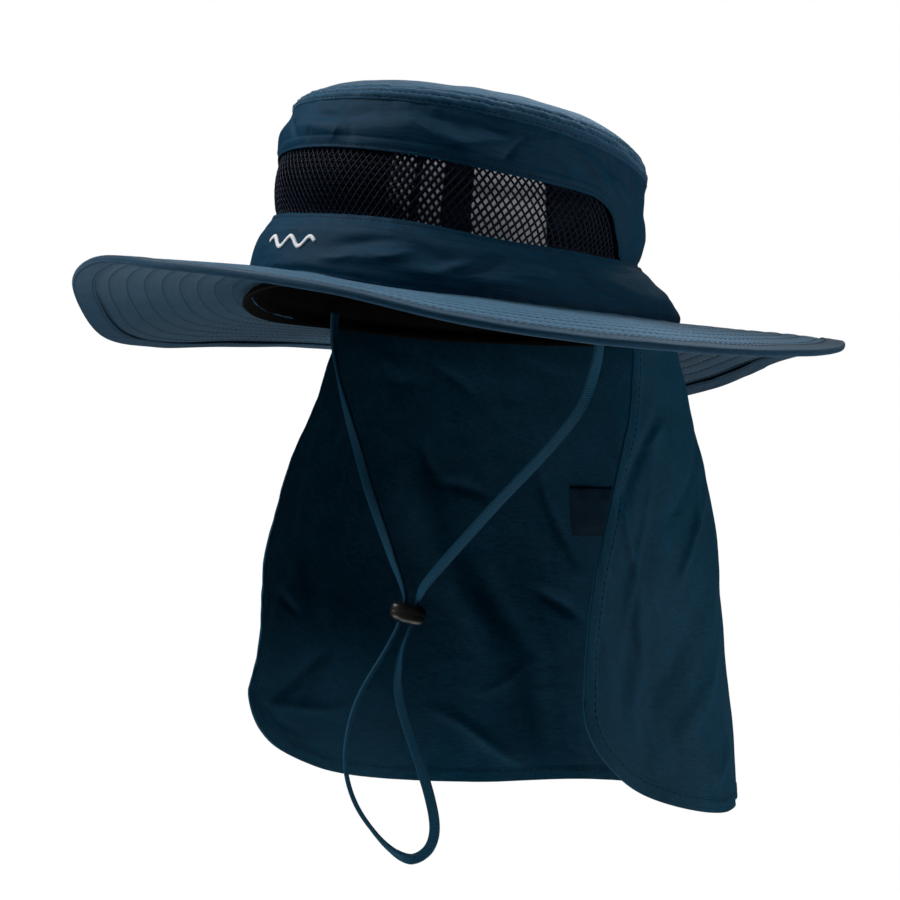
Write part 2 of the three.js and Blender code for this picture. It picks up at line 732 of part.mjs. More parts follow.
// three.js geometry to a manifold solid, and back
function solidFrom(geometry) {
  const skin = new Skin();
  const place = geometry.getAttribute("position");
  const index = geometry.getIndex().array;
  const point = (k) => new THREE.Vector3().fromBufferAttribute(place, k);
  for (let k = 0; k < index.length; k += 3) {
    skin.face(point(index[k]), point(index[k + 1]), point(index[k + 2]));
  }
  const vertProperties = new Float32Array(skin.corners.flatMap((corner) => corner.toArray()));
  const triVerts = new Uint32Array(skin.index);
  return new wasm.Manifold(new wasm.Mesh({ numProp: 3, vertProperties, triVerts }));
}
function geometryFrom(solid) {
  const mesh = solid.getMesh();
  const made = new THREE.BufferGeometry();
  made.setAttribute("position", new THREE.BufferAttribute(mesh.vertProperties, 3));
  made.setIndex(new THREE.BufferAttribute(mesh.triVerts, 1));
  made.computeVertexNormals();
  return made;
}

// A wave line embroidered on the front of the lower band
function motif() {
  const middle = { turn: -5, level: 0.5 };
  const degreesPerMm = 0.68;
  const levelsPerMm = 1 / 24;
  const waves = 2.5;
  const place = (t, side) => {
    const slide = (t - 0.5) * (motifWidth - motifLine);
    const phase = 2 * Math.PI * waves * t;
    const rise = (motifHeight / 2 - motifLine / 2) * Math.sin(phase);
    const slope = ((motifHeight / 2) * 2 * Math.PI * waves * Math.cos(phase)) / motifWidth;
    const tilt = Math.atan(slope);
    const x = slide - side * Math.sin(tilt) * (motifLine / 2);
    const y = rise + side * Math.cos(tilt) * (motifLine / 2);
    return [middle.turn + x * degreesPerMm, middle.level + y * levelsPerMm];
  };
  const grid = (distance) =>
    [-1, 1].map((side) =>
      spread(0, 1, motifSteps + 1).map((t) => {
        const [turn, level] = place(t, side);
        return layerPoint(turn, level, distance);
      }),
    );
  return sheetGeometry(grid(sewnGap + motifWall), grid(sewnGap), false);
}

function named(name, geometry, finish) {
  const material = new THREE.MeshStandardMaterial({ ...finishes[finish], metalness: 0 });
  const mesh = new THREE.Mesh(geometry, material);
  mesh.name = name;
  return mesh;
}

const hat = new THREE.Group();
hat.rotation.x = radians(-hatTilt);
hat.add(
  named("crown_top", crownTop(), "crown"),
  named("crown_side", crownSide(), "crown"),
  named("net_band", netBand(), "net"),
  named("lower_band", lowerBand(), "crown"),
  named("brim", brim(), "brim"),
  named("brim_binding", brimBinding(), "brim"),
  named("sweatband", sweatband(), "sweat"),
  named("motif", motif(), "thread"),
);

const part = new THREE.Group();
part.add(
  hat,
  named("neck_flap", neckFlap(), "flap"),
  named("flap_patch", flapPatch(), "patch"),
  named("chin_cord", chinCord(), "cord"),
  named("cord_lock", cordLock(), "lock"),
);

export default part;
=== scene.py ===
# Legionnaire sun hat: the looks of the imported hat, one made piece for each sewn part.
# Surfaces are worked out in millimetres and become metres when a mesh is made.
# The front looks toward -Y, the wearer's left toward +X. A turn is in degrees from the front to the wearer's left.
import math

import bmesh
import bpy
import numpy as np
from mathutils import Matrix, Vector


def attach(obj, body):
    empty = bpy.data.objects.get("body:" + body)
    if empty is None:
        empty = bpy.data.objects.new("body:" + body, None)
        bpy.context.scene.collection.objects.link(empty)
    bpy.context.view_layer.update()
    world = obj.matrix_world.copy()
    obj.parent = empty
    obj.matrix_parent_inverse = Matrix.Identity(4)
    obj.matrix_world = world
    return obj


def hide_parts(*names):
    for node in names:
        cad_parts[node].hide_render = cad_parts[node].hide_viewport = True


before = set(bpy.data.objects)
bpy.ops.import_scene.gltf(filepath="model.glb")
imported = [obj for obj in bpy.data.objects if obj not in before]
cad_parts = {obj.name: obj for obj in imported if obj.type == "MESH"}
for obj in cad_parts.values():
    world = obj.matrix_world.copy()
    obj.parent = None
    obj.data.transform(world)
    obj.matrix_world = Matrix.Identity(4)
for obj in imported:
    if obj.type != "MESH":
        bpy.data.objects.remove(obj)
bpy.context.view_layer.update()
print("frame loaded:", len(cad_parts), "nodes")

mm = 0.001
hatSizes = {  # as the frame was built
    "openingLength": 196, "openingWidth": 172, "crownHeight": 88, "topHeight": 86.5, "tilt": 7.5,
    "brimWidth": 68.7, "brimFrontExtra": 2, "brimWall": 2.4, "brimCamber": 1.5,
    "flapDrop": 211, "flapFlare": 36, "flapDepth": 2, "flapWall": 1.4,
}
halfLength = hatSizes["openingLength"] / 2
halfWidth = hatSizes["openingWidth"] / 2


# Small helpers

def newObject(name, data):
    obj = bpy.data.objects.new(name, data)
    bpy.context.scene.collection.objects.link(obj)
    return obj


def wire(tree, node, wires):
    for key, source in wires.items():
        tree.links.new(source, node.inputs[key])


def newNode(tree, kind, wires=None, **values):
    node = tree.nodes.new(kind)
    for key, value in values.items():
        if key in node.inputs:
            node.inputs[key].default_value = value
        else:
            setattr(node, key, value)
    wire(tree, node, wires or {})
    return node


def mathNode(tree, operation, *values):
    node = newNode(tree, "ShaderNodeMath", operation=operation)
    for k, value in enumerate(values):
        if isinstance(value, (int, float)):
            node.inputs[k].default_value = value
        else:
            tree.links.new(value, node.inputs[k])
    return node.outputs[0]


def newMaterial(name, values):
    material = bpy.data.materials.new(name)
    material.use_nodes = True
    bsdf = material.node_tree.nodes["Principled BSDF"]
    for key, value in values.items():
        bsdf.inputs[key].default_value = value
    return material, material.node_tree, bsdf


# Camera and light

cameraView = {"azimuth": 45, "elevation": 1.0, "distance": 1300, "focal": 3081, "right": 6.75, "up": 58.65}


def cameraAxes(azimuth, elevation):
    a, e = math.radians(azimuth), math.radians(elevation)
    back = Vector((math.sin(a) * math.cos(e), -math.cos(a) * math.cos(e), math.sin(e)))
    right = Vector((math.cos(a), math.sin(a), 0))
    return back, right, back.cross(right)


viewBack, viewRight, viewUp = cameraAxes(cameraView["azimuth"], cameraView["elevation"])


def makeCamera(view):
    data = bpy.data.cameras.new("photoCamera")
    data.sensor_width = 36
    data.lens = 36 * view["focal"] / 900
    data.clip_start, data.clip_end = 0.05, 50
    camera = newObject("photoCamera", data)
    camera.location = (viewBack * view["distance"] - viewRight * view["right"] - viewUp * view["up"]) * mm
    camera.rotation_mode = "QUATERNION"
    camera.rotation_quaternion = (-viewBack).to_track_quat("-Z", "Y")
    bpy.context.scene.camera = camera


studio = {
    "fill": 0.06,  # even light from all round
    "floorHeight": -1.2,
    "lamps": [  # place by the camera's right, up and back, in metres
        {"name": "keySoftbox", "at": (-1.7, 1.5, 0.1), "size": 1.2, "watts": 56},
        {"name": "overhead", "at": (0.1, 2.0, -0.1), "size": 1.2, "watts": 16},
        {"name": "rightPanel", "at": (1.9, -0.5, 0.5), "size": 0.9, "watts": 24},
        {"name": "rimSoftbox", "at": (0.2, 1.4, -1.5), "size": 1.4, "watts": 8},
        {"name": "tableBounce", "at": (0, -1.7, 0.0), "size": 1.6, "watts": 16},
        {"name": "leftBounce", "at": (-1.5, -1.2, 0.5), "size": 1.2, "watts": 15},
    ],
}


def makeStudio(sizes):
    for lamp in sizes["lamps"]:
        data = bpy.data.lights.new(lamp["name"], "AREA")
        data.energy, data.size = lamp["watts"], lamp["size"]
        obj = newObject(lamp["name"], data)
        right, up, back = lamp["at"]
        obj.location = viewRight * right + viewUp * up + viewBack * back
        obj.rotation_mode = "QUATERNION"
        obj.rotation_quaternion = (-obj.location).to_track_quat("-Z", "Y")
        obj.visible_camera = False
    world = bpy.data.worlds.new("paleStudio")
    bpy.context.scene.world = world
    world.use_nodes = True
    tree = world.node_tree
    tree.nodes.clear()
    path = newNode(tree, "ShaderNodeLightPath")
    seen = newNode(tree, "ShaderNodeBackground", Color=(1, 1, 1, 1))
    fill = newNode(tree, "ShaderNodeBackground", Color=(0.93, 0.97, 1, 1), Strength=sizes["fill"])
    mix = newNode(tree, "ShaderNodeMixShader", {
        "Fac": path.outputs["Is Camera Ray"], 1: fill.outputs[0], 2: seen.outputs[0]})
    newNode(tree, "ShaderNodeOutputWorld", {"Surface": mix.outputs[0]})
    bpy.ops.mesh.primitive_circle_add(vertices=64, radius=6, fill_type="NGON", location=(0, 0, sizes["floorHeight"]))
    floor = bpy.context.object
    floor.name = "studioFloor"
    floor.visible_diffuse = floor.visible_glossy = floor.visible_shadow = False
    pale = {"Base Color": (0.9, 0.9, 0.9, 1), "Roughness": 0.9}
    glow = {"Emission Color": (1, 1, 1, 1), "Emission Strength": 1.05}
    floor.data.materials.append(newMaterial("paleFloor", {**pale, **glow})[0])
    bpy.context.scene.view_settings.view_transform = "Standard"


makeCamera(cameraView)
makeStudio(studio)
print("camera, light and floor made")


# Surfaces of the hat

def table(**columns):
    return {name: np.array(values, float) for name, values in columns.items()}


turns30 = np.arange(0, 360, 30)
crownRows = table(  # heights round the crown, as shares of its height
    at=turns30,
    joint=[0.016, -0.042, -0.056, -0.035, 0.021, 0.047, 0.037, 0.031, 0.01, -0.01, -0.031, 0.01],
    waist=[0.293, 0.272, 0.23, 0.235, 0.261, 0.282, 0.272, 0.272, 0.261, 0.251, 0.277, 0.319],
    netTop=[0.601, 0.57, 0.528, 0.507, 0.491, 0.491, 0.491, 0.491, 0.502, 0.523, 0.57, 0.606],
    seam=[0.831, 0.815, 0.784, 0.742, 0.69, 0.669, 0.669, 0.68, 0.711, 0.763, 0.81, 0.842],
)
profileRows = table(  # rings up the crown: size as a share of the opening, shift as a share of half its length
    at=[-0.3, 0, 0.35, 0.7, 1, 1.3, 1.7, 2, 2.5, 3],
    size=[1, 1, 0.968, 0.915, 0.845, 0.852, 0.862, 0.86, 0.855, 0.822],
    shift=[0, 0, -0.025, -0.06, -0.085, -0.08, -0.078, -0.082, -0.094, -0.092],
)
brimRows = table(  # height of the brim's edge, as a share of its width
    at=np.arange(0, 360, 15),
    edge=[-0.114, -0.171, -0.238, -0.331, -0.362, -0.336, -0.279, -0.191, -0.088, 0.021, 0.052, 0.021,
          -0.14, -0.235, -0.186, -0.124, -0.062, -0.093, -0.176, -0.269, -0.295, -0.155, -0.072, -0.047],
)
windowRows = table(  # lower edge of the upper side band
    at=[0, 88, 94, 99, 103, 107, 109.5, 112, 115, 120, 180],
    level=[2, 2, 1.96, 1.82, 1.5, 1.22, 1.08, 0.97, 0.91, 0.88, 0.88],
)
flapRows = table(
    at=[0, 0.08, 0.17, 0.28, 0.38, 0.5, 0.7, 0.85, 1],
    flare=[0, 0.08, 0.22, 0.43, 0.57, 0.74, 0.88, 1.01, 1.1],
    left=[98, 96, 92, 84.5, 79.5, 74, 70, 69.5, 69.5],
    right=[268, 271, 275, 282.5, 287.5, 292, 293, 297, 299],
)
hemRows = table(at=[0, 0.25, 0.5, 0.7, 1], drop=[0.982, 0.985, 1, 1.01, 1.002])
cornerRows = {"left": (85, 47), "right": (125, 52)}  # how far each rounded corner runs and how high it climbs


def readTable(rows, column, place, period=0):
    at, value = rows["at"], rows[column]
    place = np.asarray(place, float)
    if period:
        place = np.mod(place, period)
        at = np.concatenate([at[-1:] - period, at, at[:2] + period])
        value = np.concatenate([value[-1:], value, value[:2]])
    else:
        at = np.concatenate([at[:1], at, at[-1:]])
        value = np.concatenate([value[:1], value, value[-1:]])
    k = np.clip(np.searchsorted(at[1:-1], place, side="right"), 1, len(at) - 3)
    span = at[k + 1] - at[k]
    t = np.clip((place - at[k]) / span, 0, 1)
    startSlope = (value[k + 1] - value[k - 1]) / (at[k + 1] - at[k - 1]) * span
    endSlope = (value[k + 2] - value[k]) / (at[k + 2] - at[k]) * span
    t2, t3 = t * t, t * t * t
    ease = value[k] * (2 * t3 - 3 * t2 + 1) + value[k + 1] * (3 * t2 - 2 * t3)
    return ease + startSlope * (t3 - 2 * t2 + t) + endSlope * (t3 - t2)


def smooth(value, low, high):
    t = np.clip((np.asarray(value, float) - low) / (high - low), 0, 1)
    return t * t * (3 - 2 * t)


def lerp(a, b, t):
    return a + (b - a) * t


def ovalPoint(turn, across, along, shift, z):
    angle = np.radians(turn)
    return np.stack(np.broadcast_arrays(across * np.sin(angle), shift - along * np.cos(angle), z), -1)


def levelHeight(turn, level):
    rings = [readTable(crownRows, name, turn, 360) for name in ("joint", "waist", "netTop", "seam")]
    k = np.clip(np.floor(level), 0, 2).astype(int)
    low = np.choose(k, rings[:3])
    high = np.choose(k, rings[1:])
    return hatSizes["crownHeight"] * lerp(low, high, level - k)


def crownPoint(turn, level):
    size = readTable(profileRows, "size", level)
    shift = readTable(profileRows, "shift", level) * halfLength
    return ovalPoint(turn, halfWidth * size, halfLength * size, shift, levelHeight(turn, level))


def domePoint(turn, climb):
    angle = np.clip(climb, 0, 1) * np.pi / 2
    size = profileRows["size"][-1] * np.maximum(np.cos(angle), 0) ** 0.76
    z = lerp(levelHeight(turn, np.full_like(climb, 3.0)), hatSizes["topHeight"], np.sin(angle) ** 0.76)
    return ovalPoint(turn, halfWidth * size, halfLength * size, profileRows["shift"][-1] * halfLength, z)


def skinPoint(turn, level):
    turn, level = np.broadcast_arrays(np.asarray(turn, float), np.asarray(level, float))
    low = crownPoint(turn, np.minimum(level, 3))
    return np.where((level <= 3)[..., None], low, domePoint(turn, np.maximum(level - 3, 0)))


def brimReach(turn):
    return hatSizes["brimWidth"] + hatSizes["brimFrontExtra"] * np.cos(np.radians(turn))


def brimPoint(turn, out):
    root = levelHeight(turn, np.zeros_like(turn)) - 0.8 - hatSizes["brimWall"] / 2
    edge = readTable(brimRows, "edge", turn, 360) * hatSizes["brimWidth"]
    z = lerp(root, edge, out) + hatSizes["brimCamber"] * np.sin(np.pi * np.clip(out, 0, 1))
    reach = brimReach(turn) * out
    return ovalPoint(turn, halfWidth + reach, halfLength + reach, 0, z)


def facing(surface, u, v, stepU=0.5, stepV=0.02):
    alongU = surface(u + stepU, v) - surface(u - stepU, v)
    alongV = surface(u, v + stepV) - surface(u, v - stepV)
    normal = np.cross(alongU, alongV)
    return normal / np.maximum(np.linalg.norm(normal, axis=-1, keepdims=True), 1e-9)


def layerPoint(turn, level, distance):
    turn, level = np.broadcast_arrays(np.asarray(turn, float), np.asarray(level, float))
    direction = facing(skinPoint, turn, np.minimum(level, 3.94))
    flat = direction * [1, 1, 0]
    flat /= np.maximum(np.linalg.norm(flat, axis=-1, keepdims=True), 1e-9)
    direction = np.where((level <= 3)[..., None], flat, direction)
    top = smooth(level, 3.9, 3.97)[..., None]
    direction = direction * (1 - top) + np.array([0, 0, 1]) * top
    return skinPoint(turn, level) + direction * np.asarray(distance, float)[..., None]


def leanBack(points):
    c, s = math.cos(math.radians(hatSizes["tilt"])), math.sin(math.radians(hatSizes["tilt"]))
    x, y, z = points[..., 0], points[..., 1], points[..., 2]
    return np.stack([x, y * c + z * s, z * c - y * s], -1)


def crownSkin(turn, level, distance=0.0):
    # a place on the crown as worn, at a distance out from its skin
    return leanBack(layerPoint(turn, level, distance))


def bell(distance, half):
    return np.exp(-(distance / half) ** 2)


def turnBell(turn, middle, half):
    return bell(np.mod(turn - middle + 180, 360) - 180, half)


# Folds, puckers and soft unevenness, as heights in millimetres

ringMm = 540  # once round the crown, near enough


def softNoise(x, y, seed, lap=256):
    grid = np.random.default_rng(seed).uniform(-1, 1, (lap, 64))
    x0, y0 = np.floor(x).astype(int), np.floor(y).astype(int)
    fx, fy = x - x0, y - y0
    fx, fy = fx * fx * (3 - 2 * fx), fy * fy * (3 - 2 * fy)
    a, b = grid[x0 % lap, y0 % 64], grid[(x0 + 1) % lap, y0 % 64]
    c, d = grid[x0 % lap, (y0 + 1) % 64], grid[(x0 + 1) % lap, (y0 + 1) % 64]
    return lerp(lerp(a, b, fx), lerp(c, d, fx), fy)


def ringNoise(turn, cell, y, seed, slant=0.0):
    # the same all round, with no seam where the ring closes
    lap = max(round(ringMm / cell), 1)
    return softNoise(turn * (lap / 360) + slant, y, seed, lap)


def foldPlaces(folds, x, y):
    # each fold or crease: middle x and y, direction in degrees, half length, half width, height; in millimetres
    for middleX, middleY, direction, halfRun, halfSpan, height in folds:
        c, s = math.cos(math.radians(direction)), math.sin(math.radians(direction))
        run = ((x - middleX) * c + (y - middleY) * s) / halfRun
        yield middleX, halfRun, halfSpan, height, run, (y - middleY) * c - (x - middleX) * s


def foldHeight(folds, x, y):
    total = np.zeros(np.broadcast(x, y).shape)
    for _, _, halfSpan, height, run, cross in foldPlaces(folds, x, y):
        cross = cross + 0.12 * halfSpan * np.sin(run * 2.6)
        total += height * np.exp(-run ** 2 - (cross / halfSpan) ** 2)
    return total


def creaseHeight(creases, x, y):
    total = np.zeros(np.broadcast(x, y).shape)
    for middleX, halfRun, halfSpan, height, run, cross in foldPlaces(creases, x, y):
        cross = cross + 0.05 * halfRun * np.sin(run * 2.4 + middleX)
        total += height * np.clip(1 - run ** 2, 0, 1) * np.exp(0.25 - np.sqrt((cross / halfSpan) ** 2 + 0.0625))
    return total


def puckeredHeight(folds, creases, x, y, lap):
    # folds and creases that go on past the end of the lap
    return sum(foldHeight(folds, x + k, y) + creaseHeight(creases, x + k, y) for k in (-lap, 0, lap))


def groove(distance, depth, halfSpan):
    return -depth * bell(distance, halfSpan)


# Meshes

def makeObject(name, points, faces, cornerUvs=None, join=0.0, inner=None, outward=False):
    mesh = bpy.data.meshes.new(name)
    mesh.from_pydata((np.asarray(points) * mm).tolist(), [], faces)
    if inner is not None:  # faces that look inward take the second material
        kinds = np.zeros(len(mesh.polygons), np.int32)
        kinds[inner[0]:inner[1]] = 1
        mesh.polygons.foreach_set("material_index", kinds)
    if cornerUvs is not None:
        mesh.uv_layers.new(name="cloth").data.foreach_set("uv", np.asarray(cornerUvs, np.float32).ravel())
    if join:  # closes a pole, where a whole ring falls on one point
        work = bmesh.new()
        work.from_mesh(mesh)
        bmesh.ops.remove_doubles(work, verts=work.verts, dist=join)
        if outward:
            bmesh.ops.recalc_face_normals(work, faces=work.faces)
        work.to_mesh(mesh)
        work.free()
    mesh.shade_smooth()
    return newObject(name, mesh)


def quads(grid):
    return np.stack([grid[:-1, :-1], grid[:-1, 1:], grid[1:, 1:], grid[1:, :-1]], -1).reshape(-1, 4)


def tubeFaces(rings, sides):
    # the faces of a tube of rings of points, with a flat cap at each end
    grid = np.arange(rings * sides).reshape(rings, sides)
    return quads(np.concatenate([grid, grid[:, :1]], 1)).tolist() + [grid[0, ::-1].tolist(), grid[-1].tolist()]


def unitRows(vectors):
    return vectors / np.linalg.norm(vectors, axis=1, keepdims=True)


def sheetFaces(grid, offset, closed):
    def strip(a, b):
        return np.stack([a, b, b + offset, a + offset], -1)

    faces = [quads(grid)]
    faces += [faces[0][:, ::-1] + offset, strip(grid[0, 1:], grid[0, :-1]), strip(grid[-1, :-1], grid[-1, 1:])]
    if not closed:
        faces += [strip(grid[:-1, 0], grid[1:, 0]), strip(grid[1:, -1], grid[:-1, -1])]
    return np.concatenate(faces)


def gridNormals(points, closed):
    alongU = np.roll(points, -1, 1) - np.roll(points, 1, 1) if closed else np.gradient(points, axis=1)
    normal = np.cross(alongU, np.gradient(points, axis=0))
    return normal / np.maximum(np.linalg.norm(normal, axis=-1, keepdims=True), 1e-9)


def clothLengths(points, closed):
    # how far each grid point lies along the cloth, round its middle row and up its columns
    if closed:
        points = np.concatenate([points, points[:, :1]], 1)
    steps = np.linalg.norm(np.diff(points, axis=1), axis=-1)[points.shape[0] // 2]
    across = np.concatenate([[0], np.cumsum(steps)])
    climbs = np.linalg.norm(np.diff(points, axis=0), axis=-1)
    climb = np.concatenate([np.zeros((1, points.shape[1])), np.cumsum(climbs, 0)])
    return np.stack([np.broadcast_to(across, climb.shape), climb], -1)


def sheetObject(name, points, height, wall, closed, join=0.0):
    # a sheet of cloth on a grid of points, rows upward and columns along rising turns, raised by height
    normal = gridNormals(points, closed)
    if join:
        normal[-1] = leanBack(np.array([0.0, 0.0, 1.0]))
    outer = points + normal * np.asarray(height)[..., None]
    inner = outer - normal * np.broadcast_to(wall, points.shape[:2])[..., None]
    rows, columns = points.shape[:2]
    grid = np.arange(rows * columns).reshape(rows, columns)
    lengths = clothLengths(points, closed)
    uvGrid = np.arange(lengths.shape[0] * lengths.shape[1]).reshape(lengths.shape[:2])
    if closed:
        grid = np.concatenate([grid, grid[:, :1]], 1)
    faces = sheetFaces(grid, rows * columns, closed)
    corners = lengths.reshape(-1, 2)[sheetFaces(uvGrid, 0, closed)].reshape(-1, 2) * mm
    count = (grid.shape[0] - 1) * (grid.shape[1] - 1)
    skins = np.concatenate([outer.reshape(-1, 3), inner.reshape(-1, 3)])
    return makeObject(name, skins, faces.tolist(), corners, join, (count, 2 * count))


print("surfaces ready")


# Shader groups and materials

def clothWeaveGroup():
    # warp and weft threads, slubs that run along the weft, and soft patches of tone
    group = bpy.data.node_groups.new("clothWeave", "ShaderNodeTree")
    for name, value in {"Thread": 0.00045, "Slub Length": 0.012, "Slub Width": 0.0007}.items():
        group.interface.new_socket(name, in_out="INPUT", socket_type="NodeSocketFloat").default_value = value
    group.interface.new_socket("Vector", in_out="INPUT", socket_type="NodeSocketVector")
    for name in ("Height", "Slub", "Patch", "Crumple"):
        group.interface.new_socket(name, in_out="OUTPUT", socket_type="NodeSocketFloat")
    given, out = newNode(group, "NodeGroupInput").outputs, newNode(group, "NodeGroupOutput")
    place = newNode(group, "ShaderNodeSeparateXYZ", {"Vector": given["Vector"]}).outputs

    def threads(axis):
        angle = mathNode(group, "MULTIPLY", place[axis], 2 * math.pi)
        return mathNode(group, "SINE", mathNode(group, "DIVIDE", angle, given["Thread"]))

    def noise(vector, **values):
        return newNode(group, "ShaderNodeTexNoise", {"Vector": vector}, **values).outputs["Fac"]

    crossing = mathNode(group, "MULTIPLY", threads("X"), threads("Y"))
    warp = mathNode(group, "MULTIPLY", mathNode(group, "ADD", crossing, 1), 0.5)
    stretch = newNode(group, "ShaderNodeCombineXYZ", {
        "X": mathNode(group, "DIVIDE", place["X"], given["Slub Length"]),
        "Y": mathNode(group, "DIVIDE", place["Y"], given["Slub Width"])})
    slub = mathNode(group, "MULTIPLY", noise(stretch.outputs[0], Scale=1.0, Detail=3.0, Roughness=0.6), 0.6)
    grain = mathNode(group, "MULTIPLY", noise(given["Vector"], Scale=1300.0, Detail=2.0, Roughness=0.7), 0.4)
    wire(group, out, {
        "Height": mathNode(group, "ADD", mathNode(group, "MULTIPLY", warp, 0.4), slub),
        "Slub": mathNode(group, "ADD", slub, grain),
        "Patch": noise(given["Vector"], Scale=30.0, Detail=5.0, Roughness=0.6),
        "Crumple": noise(given["Vector"], Scale=85.0, Detail=3.0, Roughness=0.5, Distortion=0.2)})
    return group


clothWeave = clothWeaveGroup()


def rampColour(tree, mask, *stops):
    ramp = newNode(tree, "ShaderNodeValToRGB", {"Fac": mask})
    for element, (place, colour) in zip(ramp.color_ramp.elements, stops):
        element.position, element.color = place, (*colour, 1)
    return ramp.outputs["Color"]


def toneAndRelief(tree, bsdf, mask, colour, stops, strength, distance):
    # one mask varies the colour and raises the surface
    tones = rampColour(tree, mask, *[(place, np.array(colour) * share) for place, share in stops])
    bump = newNode(tree, "ShaderNodeBump", {"Height": mask}, Strength=strength, Distance=distance)
    wire(tree, bsdf, {"Base Color": tones, "Normal": bump.outputs["Normal"]})


def clothMaterial(name, **changes):
    look = {**nylonLook, **changes}
    material, tree, bsdf = newMaterial(name, {
        "Specular IOR Level": look["gloss"], "Sheen Weight": look["sheen"], "Sheen Roughness": 0.45,
        "Sheen Tint": (*look["sheenTint"], 1)})
    coords = newNode(tree, "ShaderNodeTexCoord")
    threads = {"Thread": look["thread"], "Slub Length": look["slubLength"], "Slub Width": look["slubWidth"]}
    weave = newNode(tree, "ShaderNodeGroup", node_tree=clothWeave, **threads)
    wire(tree, weave, {"Vector": coords.outputs["UV"]})
    given = weave.outputs
    base = np.array(look["colour"])
    tones = rampColour(tree, given["Slub"], (0.36, base * (1 - look["streaks"])), (0.64, base * (1 + look["streaks"])))
    patches = rampColour(tree, given["Patch"], (0.3, np.full(3, 1 - look["patches"])), (0.7, np.ones(3)))
    mixed = newNode(tree, "ShaderNodeMix", data_type="RGBA", blend_type="MULTIPLY", Factor=1)
    wire(tree, mixed, {"A": tones, "B": patches})
    rough = newNode(tree, "ShaderNodeMapRange", {"Value": given["Slub"]},
                    **{"To Min": look["roughness"] - 0.08, "To Max": look["roughness"] + 0.08})
    creased = newNode(tree, "ShaderNodeBump", {"Height": given["Crumple"]}, Strength=look["crumple"], Distance=0.004)
    bump = newNode(tree, "ShaderNodeBump", {"Height": given["Height"], "Normal": creased.outputs["Normal"]},
                   Strength=look["bump"], Distance=0.0002)
    wire(tree, bsdf, {"Base Color": mixed.outputs["Result"], "Roughness": rough.outputs["Result"],
                      "Normal": bump.outputs["Normal"]})
    return material


nylonLook = {"colour": (0.0012, 0.034, 0.072), "streaks": 0.34, "patches": 0.22, "roughness": 0.5, "gloss": 0.07,
             "bump": 0.8, "crumple": 0.13, "sheen": 0.02, "sheenTint": (0.4, 0.75, 1.0),
             "thread": 0.00045, "slubLength": 0.012, "slubWidth": 0.0007}
nylon = clothMaterial("navyNylon")
# lighter, sheenier copy of the navy nylon for the faces that look up, the brim's top and the crown's top panel: painted
# light from above
litUpperNylon = clothMaterial("litUpperNylon", colour=(0.004, 0.05, 0.102), sheen=0.52, crumple=0.05,
                          sheenTint=(0.42, 0.72, 1.0))
# darker copy for the brim's underside: painted shade, against the lit top
shadedUnderNylon = clothMaterial("shadedUnderNylon", colour=(0.0016, 0.033, 0.066), sheen=0.3, crumple=0.04,
                              sheenTint=(0.58, 0.8, 1.0))
bindingNylon = clothMaterial("bindingNylon", slubLength=0.004, sheen=0.22, sheenTint=(0.6, 0.8, 1.0))
flapNylon = clothMaterial("flapNylon", colour=(0.0016, 0.038, 0.073), streaks=0.32, crumple=0.26, gloss=0.06,
                          sheen=0.04, slubLength=0.005)
coatedNylon = clothMaterial("coatedNylon", colour=(0.0005, 0.006, 0.016))
patchNylon = clothMaterial("patchNylon", colour=(0.001, 0.016, 0.034))
sweatCloth = clothMaterial("sweatbandTwill", colour=(0.0028, 0.0026, 0.0028), roughness=0.8, gloss=0.05, sheen=0.01,
                           sheenTint=(1, 0.9, 0.8), thread=0.0008, slubLength=0.002)
# pale cloth for the sheets inside the back of the crown: painted light that shows through the nets
paintedLightSatin = clothMaterial("paintedLightSatin", colour=(0.66, 0.68, 0.72), streaks=0.05, patches=0.08, sheenTint=(1, 1, 1))


def threadMaterial(name, colour, roughness=0.55, gloss=0.4):
    # twisted thread: fine slanting ply lines, with the colour darker in the grooves between plies as painted shade
    material, tree, bsdf = newMaterial(name, {"Roughness": roughness, "Specular IOR Level": gloss})
    coords = newNode(tree, "ShaderNodeTexCoord")
    ply = newNode(tree, "ShaderNodeTexWave", {"Vector": coords.outputs["Object"]}, bands_direction="DIAGONAL",
                  Scale=900.0, Distortion=1.5, Detail=1.0)
    toneAndRelief(tree, bsdf, ply.outputs["Fac"], colour, [(0, 0.75), (1, 1.15)], 0.35, 0.0001)
    return material


navyThread = threadMaterial("navyThread", (0.001, 0.008, 0.018), 0.6, 0.12)
netYarn = threadMaterial("netYarn", (0.0014, 0.0052, 0.0155), 0.5, 0.1)
whiteThread = threadMaterial("whiteThread", (0.8, 0.81, 0.83))
print("cloth and thread materials made")


# Geometry Nodes: stitches along rows, and a net from a lattice of edges

def nodeTree(name, inputs):
    tree = bpy.data.node_groups.new(name, "GeometryNodeTree")
    tree.interface.new_socket("Geometry", in_out="INPUT", socket_type="NodeSocketGeometry")
    for label, value in inputs.items():
        kind = {float: "Float", int: "Int", type(None): "Material"}[type(value)]
        socket = tree.interface.new_socket(label, in_out="INPUT", socket_type="NodeSocket" + kind)
        if value is not None:
            socket.default_value = value
    tree.interface.new_socket("Geometry", in_out="OUTPUT", socket_type="NodeSocketGeometry")
    return tree, newNode(tree, "NodeGroupInput").outputs


def finishTree(tree, geometry, given):
    real = newNode(tree, "GeometryNodeRealizeInstances", {"Geometry": geometry})
    painted = newNode(tree, "GeometryNodeSetMaterial", {
        "Geometry": real.outputs["Geometry"], "Material": given["Material"]})
    newNode(tree, "NodeGroupOutput", {"Geometry": painted.outputs["Geometry"]})
    return tree


